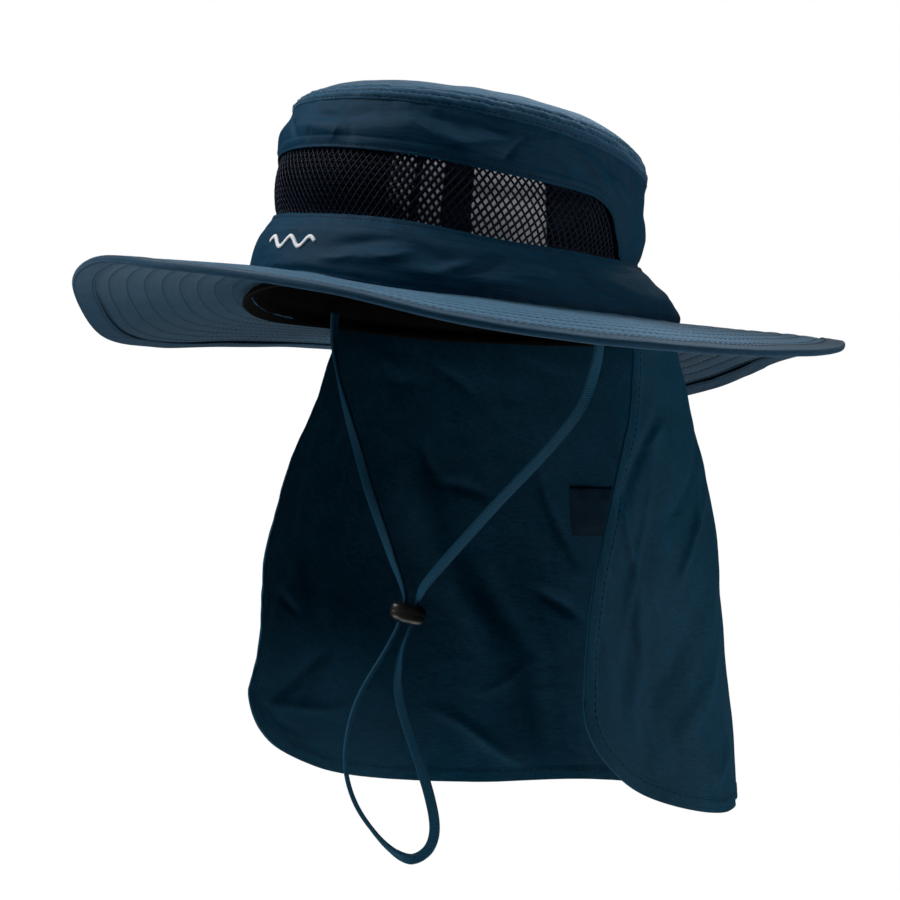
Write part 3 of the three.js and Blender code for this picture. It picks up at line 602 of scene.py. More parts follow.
def stitchTree():
    tree, given = nodeTree("stitchRows", {"Pitch": 0.003, "Length": 0.0021, "Thread": 0.00025, "Unevenness": 0.12,
                                          "Seed": 3, "Material": None})
    curves = newNode(tree, "GeometryNodeMeshToCurve", {"Mesh": given["Geometry"]})
    spaced = newNode(tree, "GeometryNodeResampleCurve", {"Curve": curves.outputs["Curve"], "Length": given["Pitch"]},
                     mode="LENGTH")
    bead = newNode(tree, "GeometryNodeMeshIcoSphere", Radius=0.5, Subdivisions=1)
    tangent = newNode(tree, "GeometryNodeInputTangent")
    turned = newNode(tree, "FunctionNodeAlignRotationToVector", {"Vector": tangent.outputs["Tangent"]}, axis="Z")
    uneven = newNode(tree, "FunctionNodeRandomValue", {"Seed": given["Seed"]}, data_type="FLOAT", Min=0, Max=1)
    less = mathNode(tree, "MULTIPLY", uneven.outputs["Value"], given["Unevenness"])
    length = mathNode(tree, "MULTIPLY", given["Length"], mathNode(tree, "SUBTRACT", 1, less))
    wide = mathNode(tree, "MULTIPLY", given["Thread"], 2)
    size = newNode(tree, "ShaderNodeCombineXYZ", {"X": wide, "Y": wide, "Z": length})
    placed = newNode(tree, "GeometryNodeInstanceOnPoints", {
        "Points": spaced.outputs["Curve"], "Instance": bead.outputs["Mesh"],
        "Rotation": turned.outputs["Rotation"], "Scale": size.outputs[0]})
    return finishTree(tree, placed.outputs["Instances"], given)


def netTree():
    tree, given = nodeTree("knottedNet", {"Strand": 0.0003, "Knot": 0.0005, "Material": None})
    curves = newNode(tree, "GeometryNodeMeshToCurve", {"Mesh": given["Geometry"]})
    ring = newNode(tree, "GeometryNodeCurvePrimitiveCircle", {"Radius": given["Strand"]}, Resolution=5)
    tube = newNode(tree, "GeometryNodeCurveToMesh", {
        "Curve": curves.outputs["Curve"], "Profile Curve": ring.outputs["Curve"]}, **{"Fill Caps": True})
    bead = newNode(tree, "GeometryNodeMeshIcoSphere", {"Radius": given["Knot"]}, Subdivisions=1)
    knots = newNode(tree, "GeometryNodeInstanceOnPoints", {
        "Points": given["Geometry"], "Instance": bead.outputs["Mesh"]})
    both = newNode(tree, "GeometryNodeJoinGeometry", {"Geometry": tube.outputs["Mesh"]})
    wire(tree, both, {"Geometry": knots.outputs["Instances"]})
    return finishTree(tree, both.outputs["Geometry"], given)


def grownObject(name, points, edges, tree, values):
    # runs a node tree over a lattice of edges and keeps the result as a plain mesh
    mesh = bpy.data.meshes.new(name + "Lines")
    mesh.from_pydata((np.asarray(points) * mm).tolist(), np.asarray(edges).tolist(), [])
    lines = newObject(name + "Lines", mesh)
    modifier = lines.modifiers.new(tree.name, "NODES")
    modifier.node_group = tree
    sockets = {item.name: item.identifier for item in tree.interface.items_tree if item.in_out == "INPUT"}
    for label, value in values.items():
        modifier[sockets[label]] = value
    made = bpy.data.meshes.new_from_object(lines.evaluated_get(bpy.context.evaluated_depsgraph_get()))
    made.name = name
    made.shade_smooth()
    bpy.data.objects.remove(lines)
    return newObject(name, made)


stitchRows, knottedNet = stitchTree(), netTree()
print("stitch and net trees made")


def rowLines(rows):
    # joins several rows of points into one set of points and edges; a row ends with True where it closes
    points, edges, start = [], [], 0
    for row, closed in rows:
        count = len(row)
        k = np.arange(count - 1) + start
        edges.append(np.stack([k, k + 1], -1))
        if closed:
            edges.append([[start + count - 1, start]])
        points.append(row)
        start += count
    return np.concatenate(points), np.concatenate(edges)


def finishPiece(obj, material, slot, *replaced, inside=None):
    if material is not None:
        kinds = np.zeros(len(obj.data.polygons), np.int32)
        if inside is not None:
            obj.data.polygons.foreach_get("material_index", kinds)
        obj.data.materials.clear()
        for finish in [material] if inside is None else [material, inside]:
            obj.data.materials.append(finish)
        obj.data.polygons.foreach_set("material_index", kinds)
    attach(obj, "root")
    if replaced:
        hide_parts(*replaced)
    return obj


sewing = {  # pitch, length of a stitch and half its width, in metres
    "brimStitches": (0.0032, 0.0023, 0.00022), "bindingStitches": (0.0028, 0.002, 0.0002),
    "crownStitches": (0.0027, 0.002, 0.0002), "hemStitches": (0.003, 0.0022, 0.0002),
    "patchStitches": (0.0026, 0.0018, 0.0002),
}


def sewRows(name, rows):
    points, edges = rowLines(rows)
    values = dict(zip(("Pitch", "Length", "Thread"), sewing[name]), Material=navyThread)
    return finishPiece(grownObject(name, points, edges, stitchRows, values), None, "thread")


# Crown: top panel, side band, net, lower band

crown = {
    "columns": 480, "wall": 0.6, "bandDepth": 0.95, "seamRows": (1.3, 4.6, 7.9), "netDepth": 2.3, "netBulge": 1.9,
    "bandMm": 22, "lowerMm": 24,  # heights of the upper and lower band, for each whole level
    "bandRow": 1.6, "lowerRow": 1.4,  # sewn rows, from the band's edge
}
crownTurns = np.arange(crown["columns"]) * 360 / crown["columns"]
roundMm = 1.36  # millimetres round the crown for each degree of turn


def seamDistances(turns, climbs):
    # distance up the dome from its seam, for each climb and turn
    grid = domePoint(turns[None, :], climbs[:, None] + 0 * turns[None, :])
    steps = np.linalg.norm(np.diff(grid, axis=0), axis=-1)
    return np.concatenate([np.zeros((1, len(turns))), np.cumsum(steps, 0)])


def rimSettle(turn, distance):
    # the crown's upper edge is rounder at the front right of the wearer and fuller at the back left
    return 2.2 * turnBell(turn, 132, 48) * bell(distance, 9) - 2.4 * turnBell(turn, 315, 70) * bell(distance, 14)


def topHeight(turn, distance):
    # puckered border with sewn rows, then an easy, slightly uneven panel
    border = 1 - smooth(distance, 9.5, 13)
    pucker = ringNoise(turn, 3.2, distance / 3.4, 11, 0.25 * distance) * 0.3
    pucker = pucker + ringNoise(turn, 8, distance / 4, 12) * 0.14
    height = border * pucker * smooth(distance, 0, 1.2) + 0.2 * border - 0.35 * bell(distance, 0.8)
    height = height + rimSettle(turn, distance) + sum(groove(distance - row, 0.32, 0.6) for row in crown["seamRows"])
    loose = ringNoise(turn, 34, distance / 24, 13) * 1.1 + ringNoise(turn, 15, distance / 12, 14) * 0.35
    return height + loose * smooth(distance, 10, 22) * (1 - smooth(distance, 60, 74))


fineClimbs = np.linspace(0, 1, 1500)
fineDistances = seamDistances(np.array([0.0]), fineClimbs)[:, 0]
topSteps = np.concatenate([np.arange(0, 13, 0.45), np.linspace(13, fineDistances[-1], 28)])
topClimbs = np.interp(topSteps, fineDistances, fineClimbs)
topDistances = seamDistances(crownTurns, topClimbs)
topTurnGrid = np.broadcast_to(crownTurns, topDistances.shape)
topPoints = crownSkin(topTurnGrid, 3 + topClimbs[:, None] + 0 * topTurnGrid)
topPanel = sheetObject("topPanel", topPoints, topHeight(topTurnGrid, topDistances), crown["wall"], True, join=1e-6)
# the top panel takes the lighter copy of the nylon: painted light on a face that looks up
finishPiece(topPanel, litUpperNylon, "crown_cloth", "crown_top", inside=coatedNylon)
print("top panel made")

bandFolds = [  # middle x and y, direction, half length, half width, height
    (3, 14.7, -5, 9, 2.2, -1.3), (-1, 9.2, -5, 16, 3, 1.3), (34, 10.6, 13, 16, 5, 1),
    (59, 16.7, -11, 12, 3, -1.4), (64, 8.1, -11, 9, 2.5, 1.2), (-24, 9.7, -36, 7, 2, -1.2),
    (73, 9.2, 16, 13, 3, 1.7), (77, 16.3, -6, 10, 2.2, -1.4), (102, 10, 0, 18, 6, -0.72),
    (136, 16.7, -20, 14, 3, -1.7), (138, 9.9, -44, 11, 2.5, -1.4), (163, 8, 100, 16, 4, 1.3),
    (182, 4, 70, 18, 5, -1.3), (205, 8, 105, 16, 5, 1.4), (238, 10, 20, 20, 5, -1.3), (262, 6, 130, 16, 4, 1.3),
    (292, 8, 75, 15, 5, 1.2), (318, 11, -25, 20, 4, -1.3), (348, 9, 40, 18, 4, 1.3),
    (378, 11, -20, 18, 4, -1.2), (408, 8, 110, 13, 4, 1.3), (438, 10, 15, 20, 4, 1.2),
]
bandCreases = [  # with the same columns
    (16, 8.6, -71, 9, 2.6, -0.6), (20, 15.6, 17, 8, 1.8, -0.5), (86, 10, 50, 9, 1.5, -1.4),
    (124, 11.4, -39, 14, 1.6, 1.8), (154, 13, -99, 11, 1.5, 1.5), (8, 5.2, 60, 6, 1.0, 0.75),
    (112, 6, -24, 12, 1.2, 0.75), (48, 12, -30, 9, 1.2, 0.75), (-8, 5, 75, 6, 1.2, -0.9),
    (142, 5, -55, 10, 1.3, 1.2), (196, 12, 80, 10, 1.5, -1.4), (224, 9, 40, 12, 1.5, 1.4),
    (276, 12, 110, 9, 1.5, -1.2), (330, 8, 60, 12, 1.5, 1.2), (392, 10, 95, 10, 1.5, -1.2),
    (424, 9, 60, 9, 1.5, 1.2),
]


def windowLow(turns):
    return readTable(windowRows, "level", np.where(turns > 180, 360 - turns, turns))


def bandGrid(columns=600, rows=38):
    turns = np.arange(columns) * 360 / columns
    low = windowLow(turns)
    share = np.linspace(0, 1, rows)[:, None] ** 1.15
    levels = np.maximum(lerp(low[None, :], 3.06, share), 0)
    return np.broadcast_to(turns, levels.shape), levels, low


def bandHeight(turn, level, low):
    x, y = turn * roundMm, (level - 2) * crown["bandMm"]
    fromSeam, fromEdge = (3 - level) * crown["bandMm"], (level - low) * crown["bandMm"]
    folds = puckeredHeight(bandFolds, bandCreases, x, y, 360 * roundMm)
    loose = ringNoise(turn, 24, y / 13, 21) * 0.7 + ringNoise(turn, 10, y / 6, 22) * 0.22
    held = smooth(fromSeam, 0.4, 6) * smooth(fromEdge, 1.5, 7)
    pucker = ringNoise(turn, 4.5, y / 9, 23) * 0.3 * bell(fromSeam, 5)
    rows = groove(fromEdge - crown["bandRow"], 0.2, 0.5), groove(fromEdge - 5, 0.22, 0.6)
    hem = 0.3 * (1 - smooth(fromEdge, 4.6, 5.4)) + rows[0] + rows[1]
    edge = ringNoise(turn, 5.4, 0 * y, 24) * 0.2 * np.exp(-fromEdge / 6)
    closing = (crown["bandDepth"] - 0.4) * (1 - smooth(fromSeam, 0.5, 9))
    return (folds + loose) * held + pucker + hem + edge + closing + rimSettle(turn, fromSeam)


bandTurns, bandLevels, bandLow = bandGrid()
bandPoints = crownSkin(bandTurns, bandLevels, -crown["bandDepth"])
sideBand = sheetObject("sideBand", bandPoints, bandHeight(bandTurns, bandLevels, bandLow), crown["wall"], True)
finishPiece(sideBand, nylon, "crown_cloth", "crown_side", inside=coatedNylon)
print("side band made")

lowerFolds = [
    (33, 14.2, 12, 17, 2.5, -1.4), (36, 8.9, 8, 14, 2.5, 1.2), (58, 13.4, -14, 12, 4, -1.7),
    (58, 6, 1, 12, 2.2, 1), (71, 9.6, 18, 9, 2, 1.4), (84, 12.5, 34, 11, 3, -1.7),
    (111, 16.6, 1, 12, 2.8, -1.4), (93, 6.2, 4, 20, 2.5, 1.2), (126, 13, -19, 5, 2, -1.2),
    (146, 19.7, -5, 12, 2, -0.9), (147, 10.1, -10, 15, 4, 0.75), (-8, 18.2, 2, 22, 2.5, 0.75),
    (178, 9, 10, 18, 4, 1.2), (210, 12, -12, 20, 4, -1.2), (240, 9, 15, 18, 4, 1.4),
    (270, 13, -18, 18, 4, -1.2), (300, 9, 12, 18, 4, 1.2), (332, 13, -12, 20, 4, -1.2),
    (362, 9, 14, 18, 4, 1.2), (395, 13, -15, 18, 4, -1.2), (425, 10, 12, 18, 4, 1),
]
lowerCreases = [
    (0, 18.7, 29, 5, 1.2, -1), (46, 11, 14, 10, 1.2, 0.8), (100, 10, 8, 14, 1.3, 0.8), (76, 7, 20, 8, 1.0, 0.8),
    (133, 9, -16, 10, 1.2, -1), (20, 7, 10, 10, 1.1, 0.8), (190, 12, 30, 10, 1.4, -1.2),
    (256, 10, -20, 12, 1.4, 1.2), (316, 12, 20, 12, 1.4, -1.2), (380, 10, -10, 12, 1.4, 1.2),
]


def lowerHeight(turn, level):
    tall = crown["lowerMm"]
    x, y = np.mod(turn, 360) * (ringMm / 360), level * tall
    loose = ringNoise(turn, 26, y / 11, 31) * 0.55 + ringNoise(turn, 10, y / 6, 32) * 0.18
    held = smooth(y, 0.5, 6) * smooth(tall - y, 3, 8)
    hem = 0.28 * smooth(y, 19.2, 20) + groove(tall - y - crown["lowerRow"], 0.2, 0.5)
    pucker = ringNoise(turn, 4, y / 12, 33) * (0.22 * np.exp(-(tall - y) / 5) + 0.25 * np.exp(-y / 4))
    tuck = -1.3 * bell(np.maximum(y, 0), 1.9)
    return (puckeredHeight(lowerFolds, lowerCreases, x, y, ringMm) + loose) * held + hem + pucker + tuck


lowerTurns, lowerLevels = np.meshgrid(np.arange(560) * 360 / 560, np.linspace(-0.02, 1, 40))
lowerBand = sheetObject("lowerBand", crownSkin(lowerTurns, lowerLevels), lowerHeight(lowerTurns, lowerLevels),
                        crown["wall"], True)
finishPiece(lowerBand, nylon, "crown_cloth", "lower_band", inside=coatedNylon)
print("lower band made")

netLook = {"pitch": 3.15, "rows": 15, "lowLevel": 0.93, "highLevel": 2.12, "endTurn": 114, "strand": 0.42, "knot": 0.56}


def netLattice(look, depth, phase=0.0):
    count = int(2 * look["endTurn"] * 1.32 / look["pitch"])
    points, edges, index = [], [], {}
    for row in range(look["rows"]):
        share = row / (look["rows"] - 1)
        level = lerp(look["lowLevel"], look["highLevel"], share)
        for column in range(count + 1):
            turn = look["endTurn"] * (2 * (column + 0.5 * (row % 2) + phase) / (count + 0.5) - 1)
            settled = float(smooth(abs(turn), 86, 98))  # lies back behind the window's ends
            bulge = crown["netBulge"] * math.sin(math.pi * min(max((level - 1), 0), 1)) * (1 - settled)
            wave = 0.35 * math.sin(turn * 0.21) * math.sin(math.pi * share)
            index[row, column] = len(points)
            points.append((turn, level, -depth - 0.9 * settled + bulge + wave))
    for (row, column), k in index.items():
        for step in (0, 1) if row % 2 else (-1, 0):
            if (row + 1, column + step) in index:
                edges.append((k, index[row + 1, column + step]))
    return crownSkin(*np.array(points).T), edges


netValues = {"Strand": netLook["strand"] * mm, "Knot": netLook["knot"] * mm, "Material": netYarn}
for netName, netBack, netPhase in (("netPanel", 0, 0.0), ("netUnderlay", 1.2, 0.2)):
    netPoints, netEdges = netLattice(netLook, crown["netDepth"] + netBack, netPhase)
    finishPiece(grownObject(netName, netPoints, netEdges, knottedNet, netValues), None, "net", "net_band")
    print(netName, "made:", len(netEdges), "strands")


liningLook = {"firstTurn": 250, "lastTurn": 338, "low": 0.8, "high": 2.25, "inset": 6.0, "wall": 0.4}


def liningPiece(look):
    # dark cloth seen behind the net at the front and the wearer's right
    turns = np.arange(look["firstTurn"], look["lastTurn"] + 0.1, 1.0)
    turns, levels = np.meshgrid(turns, np.linspace(look["low"], look["high"], 24))
    sag = ringNoise(turns, 14, levels * 2, 35) * 0.5
    return sheetObject("netLining", crownSkin(turns, levels, -look["inset"]), sag, look["wall"], False)


finishPiece(liningPiece(liningLook), patchNylon, "crown_cloth")


# Brim, its rows of stitching and its binding

brimLook = {"columns": 416, "rowPitch": 7.3, "firstRow": 5.5, "rows": 8, "half": 1.1, "edgeHalf": 0.72,
            "binding": 8.0, "bindingHalf": 1.5, "bindingWall": 0.5}


def brimBase(turn, out):
    return leanBack(brimPoint(turn, out))


def brimHalf(turn, out):
    fromEdge = (1 - out) * brimReach(turn)
    return lerp(brimLook["edgeHalf"], brimLook["half"], smooth(fromEdge, 8, 10.5))


def brimHeight(turn, out, side):
    inward = out * brimReach(turn)
    height = ringNoise(turn, 27, inward / 30, 41 + side) * 0.5
    height = height + sum(groove(inward - row, 0.34, 0.9) for row in brimRowPlaces)
    return height + ringNoise(turn, 4.5, inward / 3.5, 43 + side) * 0.07 + 0.3 * np.exp(-inward / 2.5)


brimRowPlaces = [brimLook["firstRow"] + k * brimLook["rowPitch"] for k in range(brimLook["rows"])]
brimTurns = np.arange(brimLook["columns"]) * 360 / brimLook["columns"]
brimGrid = np.meshgrid(brimTurns, np.linspace(1, -0.034, 90))
half, topSide, underSide = brimHalf(*brimGrid), brimHeight(*brimGrid, 0), brimHeight(*brimGrid, 1)
brimPanel = sheetObject("brimPanel", brimBase(*brimGrid), half + topSide, 2 * half + topSide + underSide, True)
# the brim's top takes the lighter copy and its underside the darker one: painted light and shade
finishPiece(brimPanel, litUpperNylon, "brim_cloth", "brim", inside=shadedUnderNylon)


def brimRow(inward, side):
    out = inward / brimReach(brimTurns)
    points = brimBase(np.tile(brimTurns, (3, 1)), out[None, :] + np.array([[0.004], [0], [-0.004]]))
    height = brimHalf(brimTurns, out) + brimHeight(brimTurns, out, 0 if side > 0 else 1)
    return points[1] + gridNormals(points, True)[1] * (side * (height + 0.03))[:, None], True


sewRows("brimStitches", [brimRow(place, side) for place in brimRowPlaces for side in (1, -1)])
print("brim made")


def bindingPiece(look):
    # round the edge: inward distance and rise, with the way that the cloth there grows outward
    turns, half = np.arange(440) * 360 / 440, look["bindingHalf"]
    flat, arc = np.linspace(look["binding"], 0.001, 16), np.linspace(-np.pi / 2, np.pi / 2, 11)[1:-1]
    section = [(d, -half, 0, -1) for d in flat]
    section += [(-half * math.cos(a) * 0.9, half * math.sin(a), math.cos(a), math.sin(a)) for a in arc]
    section += [(d, half, 0, 1) for d in flat[::-1]]
    middle = brimBase(np.tile(turns, (3, 1)), 1 + np.array([[0.01], [0], [-0.01]]) + 0 * turns)
    normal = gridNormals(middle, True)[1]
    inward = unitRows(middle[2] - middle[0])
    joinStep = 0.28 * smooth(turns, 167.9, 168.2) * (1 - smooth(turns, 171.5, 174))
    rows = []
    for distance, rise, outX, outZ in section:
        upper = rise > 0
        slant = distance / 4.0 * (1 if rise < 0 else -1)
        pucker = ringNoise(turns, 3.1, np.full_like(turns, distance / 9 + upper * 5), 51, slant) * 0.22
        pucker = pucker * (0.45 if upper else 1) * smooth(distance, 0.3, 2.5)
        height = pucker + ringNoise(turns, 9, np.full_like(turns, 3.0 * upper), 52) * 0.12 + joinStep
        height = (height + groove(distance - look["binding"] + 1.1, 0.26, 0.6) * (distance > 0))[:, None]
        base = brimBase(turns, 1 - distance / brimReach(turns)) if distance > 0 else middle[1] + inward * distance
        rows.append(base + normal * (rise + outZ * height) - inward * (outX * height))
    return np.array(rows), int(np.argmin(np.abs(flat - look["binding"] + 1.1)))


bindingOuter, bindingRow = bindingPiece(brimLook)
binding = sheetObject("brimEdgeBinding", bindingOuter, np.zeros(bindingOuter.shape[:2]), brimLook["bindingWall"], True)
finishPiece(binding, bindingNylon, "brim_cloth", "brim_binding")
bindingLift = bindingOuter + gridNormals(bindingOuter, True) * 0.04
sewRows("bindingStitches", [(bindingLift[row], True) for row in (bindingRow, -1 - bindingRow)])
print("binding made")


# Rows of stitching on the crown

sewTurns = np.arange(0, 360, 0.5)
sewDistances = seamDistances(sewTurns, np.linspace(0, 0.2, 120))


def topRow(distance):
    climb = np.array([np.interp(distance, column, np.linspace(0, 0.2, 120)) for column in sewDistances.T])
    return crownSkin(sewTurns, 3 + climb, topHeight(sewTurns, np.full_like(sewTurns, distance)) + 0.05), True


sewLow = windowLow(sewTurns)
bandRow = sewLow + crown["bandRow"] / crown["bandMm"]
bandSew = crownSkin(sewTurns, bandRow, bandHeight(sewTurns, bandRow, sewLow) - crown["bandDepth"] + 0.05)
lowerRow = np.full_like(sewTurns, 1 - crown["lowerRow"] / crown["lowerMm"])
lowerSew = crownSkin(sewTurns, lowerRow, lowerHeight(sewTurns, lowerRow) + 0.05)
sewRows("crownStitches", [topRow(distance) for distance in crown["seamRows"]] + [(bandSew, True), (lowerSew, True)])
print("crown stitching made")


# Sweatband inside the opening

sweatLook = {"low": -0.24, "high": 0.75, "inset": 4.0, "wall": 1.0, "lip": 5.0, "lipTurn": 318, "row": 3.4}


def sweatPiece(look):
    turns, levels = np.meshgrid(np.arange(240) * 1.5, np.linspace(look["low"], look["high"], 26))
    y = levels * crown["lowerMm"]
    height = ringNoise(turns, 18, y / 9, 61) * 0.7 + ringNoise(turns, 5, y / 14, 62) * 0.25
    height = height + 0.5 * bell(levels - look["low"], 0.05) + groove(y + look["row"], 0.25, 0.5)
    lip = look["lip"] * smooth(-levels, 0.0, -look["low"]) * turnBell(turns, look["lipTurn"], 42)
    # held to the brim, and to the band above
    sewn = 1.2 * bell(levels, 0.12) + 1.7 * smooth(levels, 0.45, 0.72)
    points = crownSkin(turns, levels, lip + sewn - look["inset"])
    return sheetObject("innerSweatband", points, height - 0.3, look["wall"], True)


finishPiece(sweatPiece(sweatLook), sweatCloth, "sweatband_cloth", "sweatband")
print("sweatband made")


# Neck flap, hanging true to gravity

flapLook = {"sewnFall": 0.03, "topLevel": 0.15, "freeLevel": -0.14, "hemLength": 430, "wall": 0.55, "hem": 6.0}
flapRipples = table(  # upright ripples: turn at the hem, half width in degrees, depth in mm, share where it starts
    turn=[84, 104, 131, 156, 178, 203, 226, 252, 276], width=[8, 11, 9, 10, 8, 10, 9, 11, 8],
    depth=[-4, 3, -3, 4, -5, 4, -5, 3, -3], start=[0.1, 0.15, 0.3, 0.2, 0.25, 0.2, 0.3, 0.3, 0.2])

flapInset = hatSizes["flapDepth"] + hatSizes["flapWall"] / 2


def hemHeight(along):
    def climb(corner, distance):
        run, rise = corner
        t = 1 - np.clip(distance / run, 0, 1)
        return rise * (1 - np.sqrt(np.maximum(1 - t * t, 0)))

    left = climb(cornerRows["left"], along * flapLook["hemLength"])
    right = climb(cornerRows["right"], (1 - along) * flapLook["hemLength"])
    return -hatSizes["flapDrop"] * readTable(hemRows, "drop", along) + left + right


def sewnPoint(turn, level):
    return crownSkin(turn, level, -flapInset)


def flapPoint(along, fall):
    sewnFall, freeLevel, flareMost = flapLook["sewnFall"], flapLook["freeLevel"], hatSizes["flapFlare"]
    topTurn = lerp(98, 268, along)
    sewn = sewnPoint(topTurn, lerp(flapLook["topLevel"], freeLevel, np.clip(fall / sewnFall, 0, 1)))
    free = np.clip((fall - sewnFall) / (1 - sewnFall), 0, None)
    root = sewnPoint(topTurn, np.full(along.shape, freeLevel))
    z = lerp(root[..., 2], hemHeight(along), free)
    drop = np.clip((root[..., 2] - z) / (root[..., 2] + hatSizes["flapDrop"]), 0, 1)
    flare = readTable(flapRows, "flare", drop) * flareMost
    turn = lerp(readTable(flapRows, "left", drop), readTable(flapRows, "right", drop), along)
    hemTurn = lerp(flapRows["left"][-1], flapRows["right"][-1], along)
    swell = sum(depth * smooth(drop, start, 0.95) * bell(hemTurn - middle, width)
                for middle, width, depth, start in zip(*flapRipples.values()))
    across = halfWidth - flapInset + 0.54 * flare + swell
    deep = halfLength - flapInset + 0.49 * flare + swell
    hanging = ovalPoint(turn, across, deep, 0.28 * flare, z)
    place = lerp(root[..., :2], hanging[..., :2], smooth(free, 0, 0.12)[..., None])
    loose = np.concatenate([place, z[..., None]], -1)
    # the far corner stands out
    kick = 3.6 * np.exp(-np.sqrt(((z + 164) / 13) ** 2 + 0.04)) * bell((1 - along) * flapLook["hemLength"], 30)
    loose[..., :2] -= 0.7 * kick[..., None]
    return np.where((fall <= sewnFall)[..., None], sewn, loose)


flapFolds = [  # along the hem from the wearer's left edge and down from the top, in millimetres
    (88, -60, 96, 40, 9, 1.2), (120, -110, 75, 60, 11, -2.0), (150, -60, 58, 40, 8, 1.5),
    (165, -150, 100, 45, 10, 1.8), (185, -70, 60, 36, 7, -1.8), (205, -100, 118, 40, 9, 1.6),
    (336, -82, -119, 32, 9, -2.4), (310, -125, -116, 28, 8, -2.0), (292, -132, -118, 24, 6, 1.8),
    (402, -108, -108, 42, 6, 2.2), (384, -148, -73, 38, 5, 0.8), (272, -180, -97, 22, 5, 1.0),
    (22, -112, -96, 34, 1.5, 1.0), (30, -150, -84, 30, 1.5, 0.9), (62, -96, -118, 30, 1.5, 0.9),
    (16, -64, -117, 17, 4, -2.0), (7, -86, -105, 15, 4, -2.4), (26, -166, -96, 24, 4.5, 2.2),
    (67, -162, -134, 32, 5, 2.4), (50, -146, -122, 26, 6, -2.2), (36, -110, -95, 30, 7, 1.2),
    (85, -120, -110, 40, 8, 1.5),
]
flapCreases = [
    (373, -16, 178, 16, 1.8, 1.4), (340, -24, -159, 25, 1.7, 2.0), (274, -18, -173, 33, 2.2, 2.2),
    (369, -28, 175, 13, 1.6, 1.0), (338, -63, -133, 14, 1.6, 1.6), (315, -75, -166, 20, 1.5, 1.6),
    (263, -86, -112, 30, 2.6, 2.6), (264, -128, -143, 15, 2.0, 2.4), (402, -180, 134, 33, 2.2, 1.9),
    (392, -188, 161, 33, 1.8, -1.8), (401, -198, -173, 15, 1.7, 1.6), (408, -142, -146, 9, 1.7, 1.5),
    (413, -146, -67, 33, 3, 0.9), (298, -191, -151, 32, 2.0, -2.2), (288, -162, 144, 16, 2.2, -1.4),
    (390, -19, -159, 18, 2.3, -1.1), (16, -108, -62, 20, 2.0, 2.2), (26, -135, -79, 18, 2.2, 2.2),
    (56, -78, -137, 28, 2.2, -1.3), (59, -100, -127, 24, 2.0, 2.2), (85, -56, -149, 14, 2.6, -1.2),
    (26, -56, -137, 15, 2.6, 1.6), (80, -190, -149, 18, 2.4, 1.8), (5, -168, -95, 13, 2.6, -1.0),
    (72, -185, -100, 22, 2.2, 1.2), (44, -186, -80, 18, 2.2, -0.5), (74, -84, -140, 20, 2.4, 1.5),
    (140, -80, 70, 30, 2.2, -1.2), (175, -120, 110, 34, 2.2, 1.2), (215, -70, 60, 26, 2.2, -1.2),
    (236, -150, 95, 30, 2.2, 1.0),
]


def flapGrid():
    # rows and columns lie close along the hem
    edge = np.array([0, 0.4, 1, 2, 3, 4, 4.6, 5.2, 5.8, 6.4, 7, 8, 9.5, 11])
    sides, bottom = edge / flapLook["hemLength"], edge / hatSizes["flapDrop"]
    alongs = np.concatenate([sides, np.linspace(sides[-1], 1 - sides[-1], 230)[1:-1], 1 - sides[::-1]])
    falls = np.concatenate([np.linspace(0, 1 - bottom[-1], 118)[:-1], 1 - bottom[::-1]])
    return np.meshgrid(alongs, falls[::-1])


flapAlong, flapFall = flapGrid()
flapBase = flapPoint(flapAlong, flapFall)
# down one edge, along the hem and up the other
flapRim = np.concatenate([flapBase[:, 0][::-1], flapBase[0], flapBase[:, -1]])


def rimDistance(points):
    near = np.full(points.shape[:-1], 1e9)
    for k in range(0, len(flapRim), 24):
        near = np.minimum(near, np.linalg.norm(points[..., None, :] - flapRim[k:k + 24], axis=-1).min(-1))
    return near


flapEdge = rimDistance(flapBase)


def flapHeights():
    x, y = flapAlong * flapLook["hemLength"], -flapFall * hatSizes["flapDrop"]
    free = smooth(-y, 6, 40)
    folds = foldHeight(flapFolds, x, y) + creaseHeight(flapCreases, x, y)
    loose = softNoise(x / 26, y / 48, 71) * 0.8 + softNoise(x / 11, y / 22, 72) * 0.4
    loose = loose + softNoise(x / 5, y / 8, 73) * 0.14
    held = smooth(flapEdge, 2, 14)
    wave = softNoise(x / 6, y / 6, 74) * 0.28 * np.exp(-flapEdge / 5) * free
    return (folds + loose) * free * lerp(0.35, 1, held) + wave


hemShare = smooth(flapFall, 0.02, 0.05)
hemRelief = 0.34 * (1 - smooth(flapEdge, flapLook["hem"] - 0.5, flapLook["hem"] + 0.3)) * hemShare
hemRelief = hemRelief + groove(flapEdge - flapLook["hem"] + 0.9, 0.2, 0.55) * hemShare
flapOuter, flapThick = flapHeights() + hemRelief, flapLook["wall"] + 2 * hemRelief
flap = sheetObject("neckFlapCloth", flapBase, flapOuter, flapThick, False)
finishPiece(flap, flapNylon, "flap_cloth", "neck_flap")
flapFlat, flapNormals = flapBase.reshape(-1, 3), gridNormals(flapBase, False).reshape(-1, 3)


def nearestOnFlap(point):
    return int(np.argmin(((flapFlat - point) ** 2).sum(1)))


def flapSurface(points, side):
    # puts points on the outer or inner face of the flap
    face = (flapOuter + 0.04 if side > 0 else flapOuter - flapThick - 0.04).reshape(-1)
    found = []
    for point in points:
        k = nearestOnFlap(point)
        found.append(point + flapNormals[k] * ((flapFlat[k] - point) @ flapNormals[k] + face[k]))
    return np.array(found)


def hemSew():
    rim = flapRim[np.concatenate([[True], np.linalg.norm(np.diff(flapRim, axis=0), axis=1) > 0.15])]
    near = np.array([flapNormals[nearestOnFlap(point)] for point in rim])
    rows = rim + np.cross(near, unitRows(np.gradient(rim, axis=0))) * (flapLook["hem"] - 0.9)
    return rows[rows[:, 2] < flapBase[-1, :, 2].min() - 6]


hemRow = hemSew()
sewRows("hemStitches", [(flapSurface(hemRow, side), False) for side in (1, -1)])
print("neck flap made")


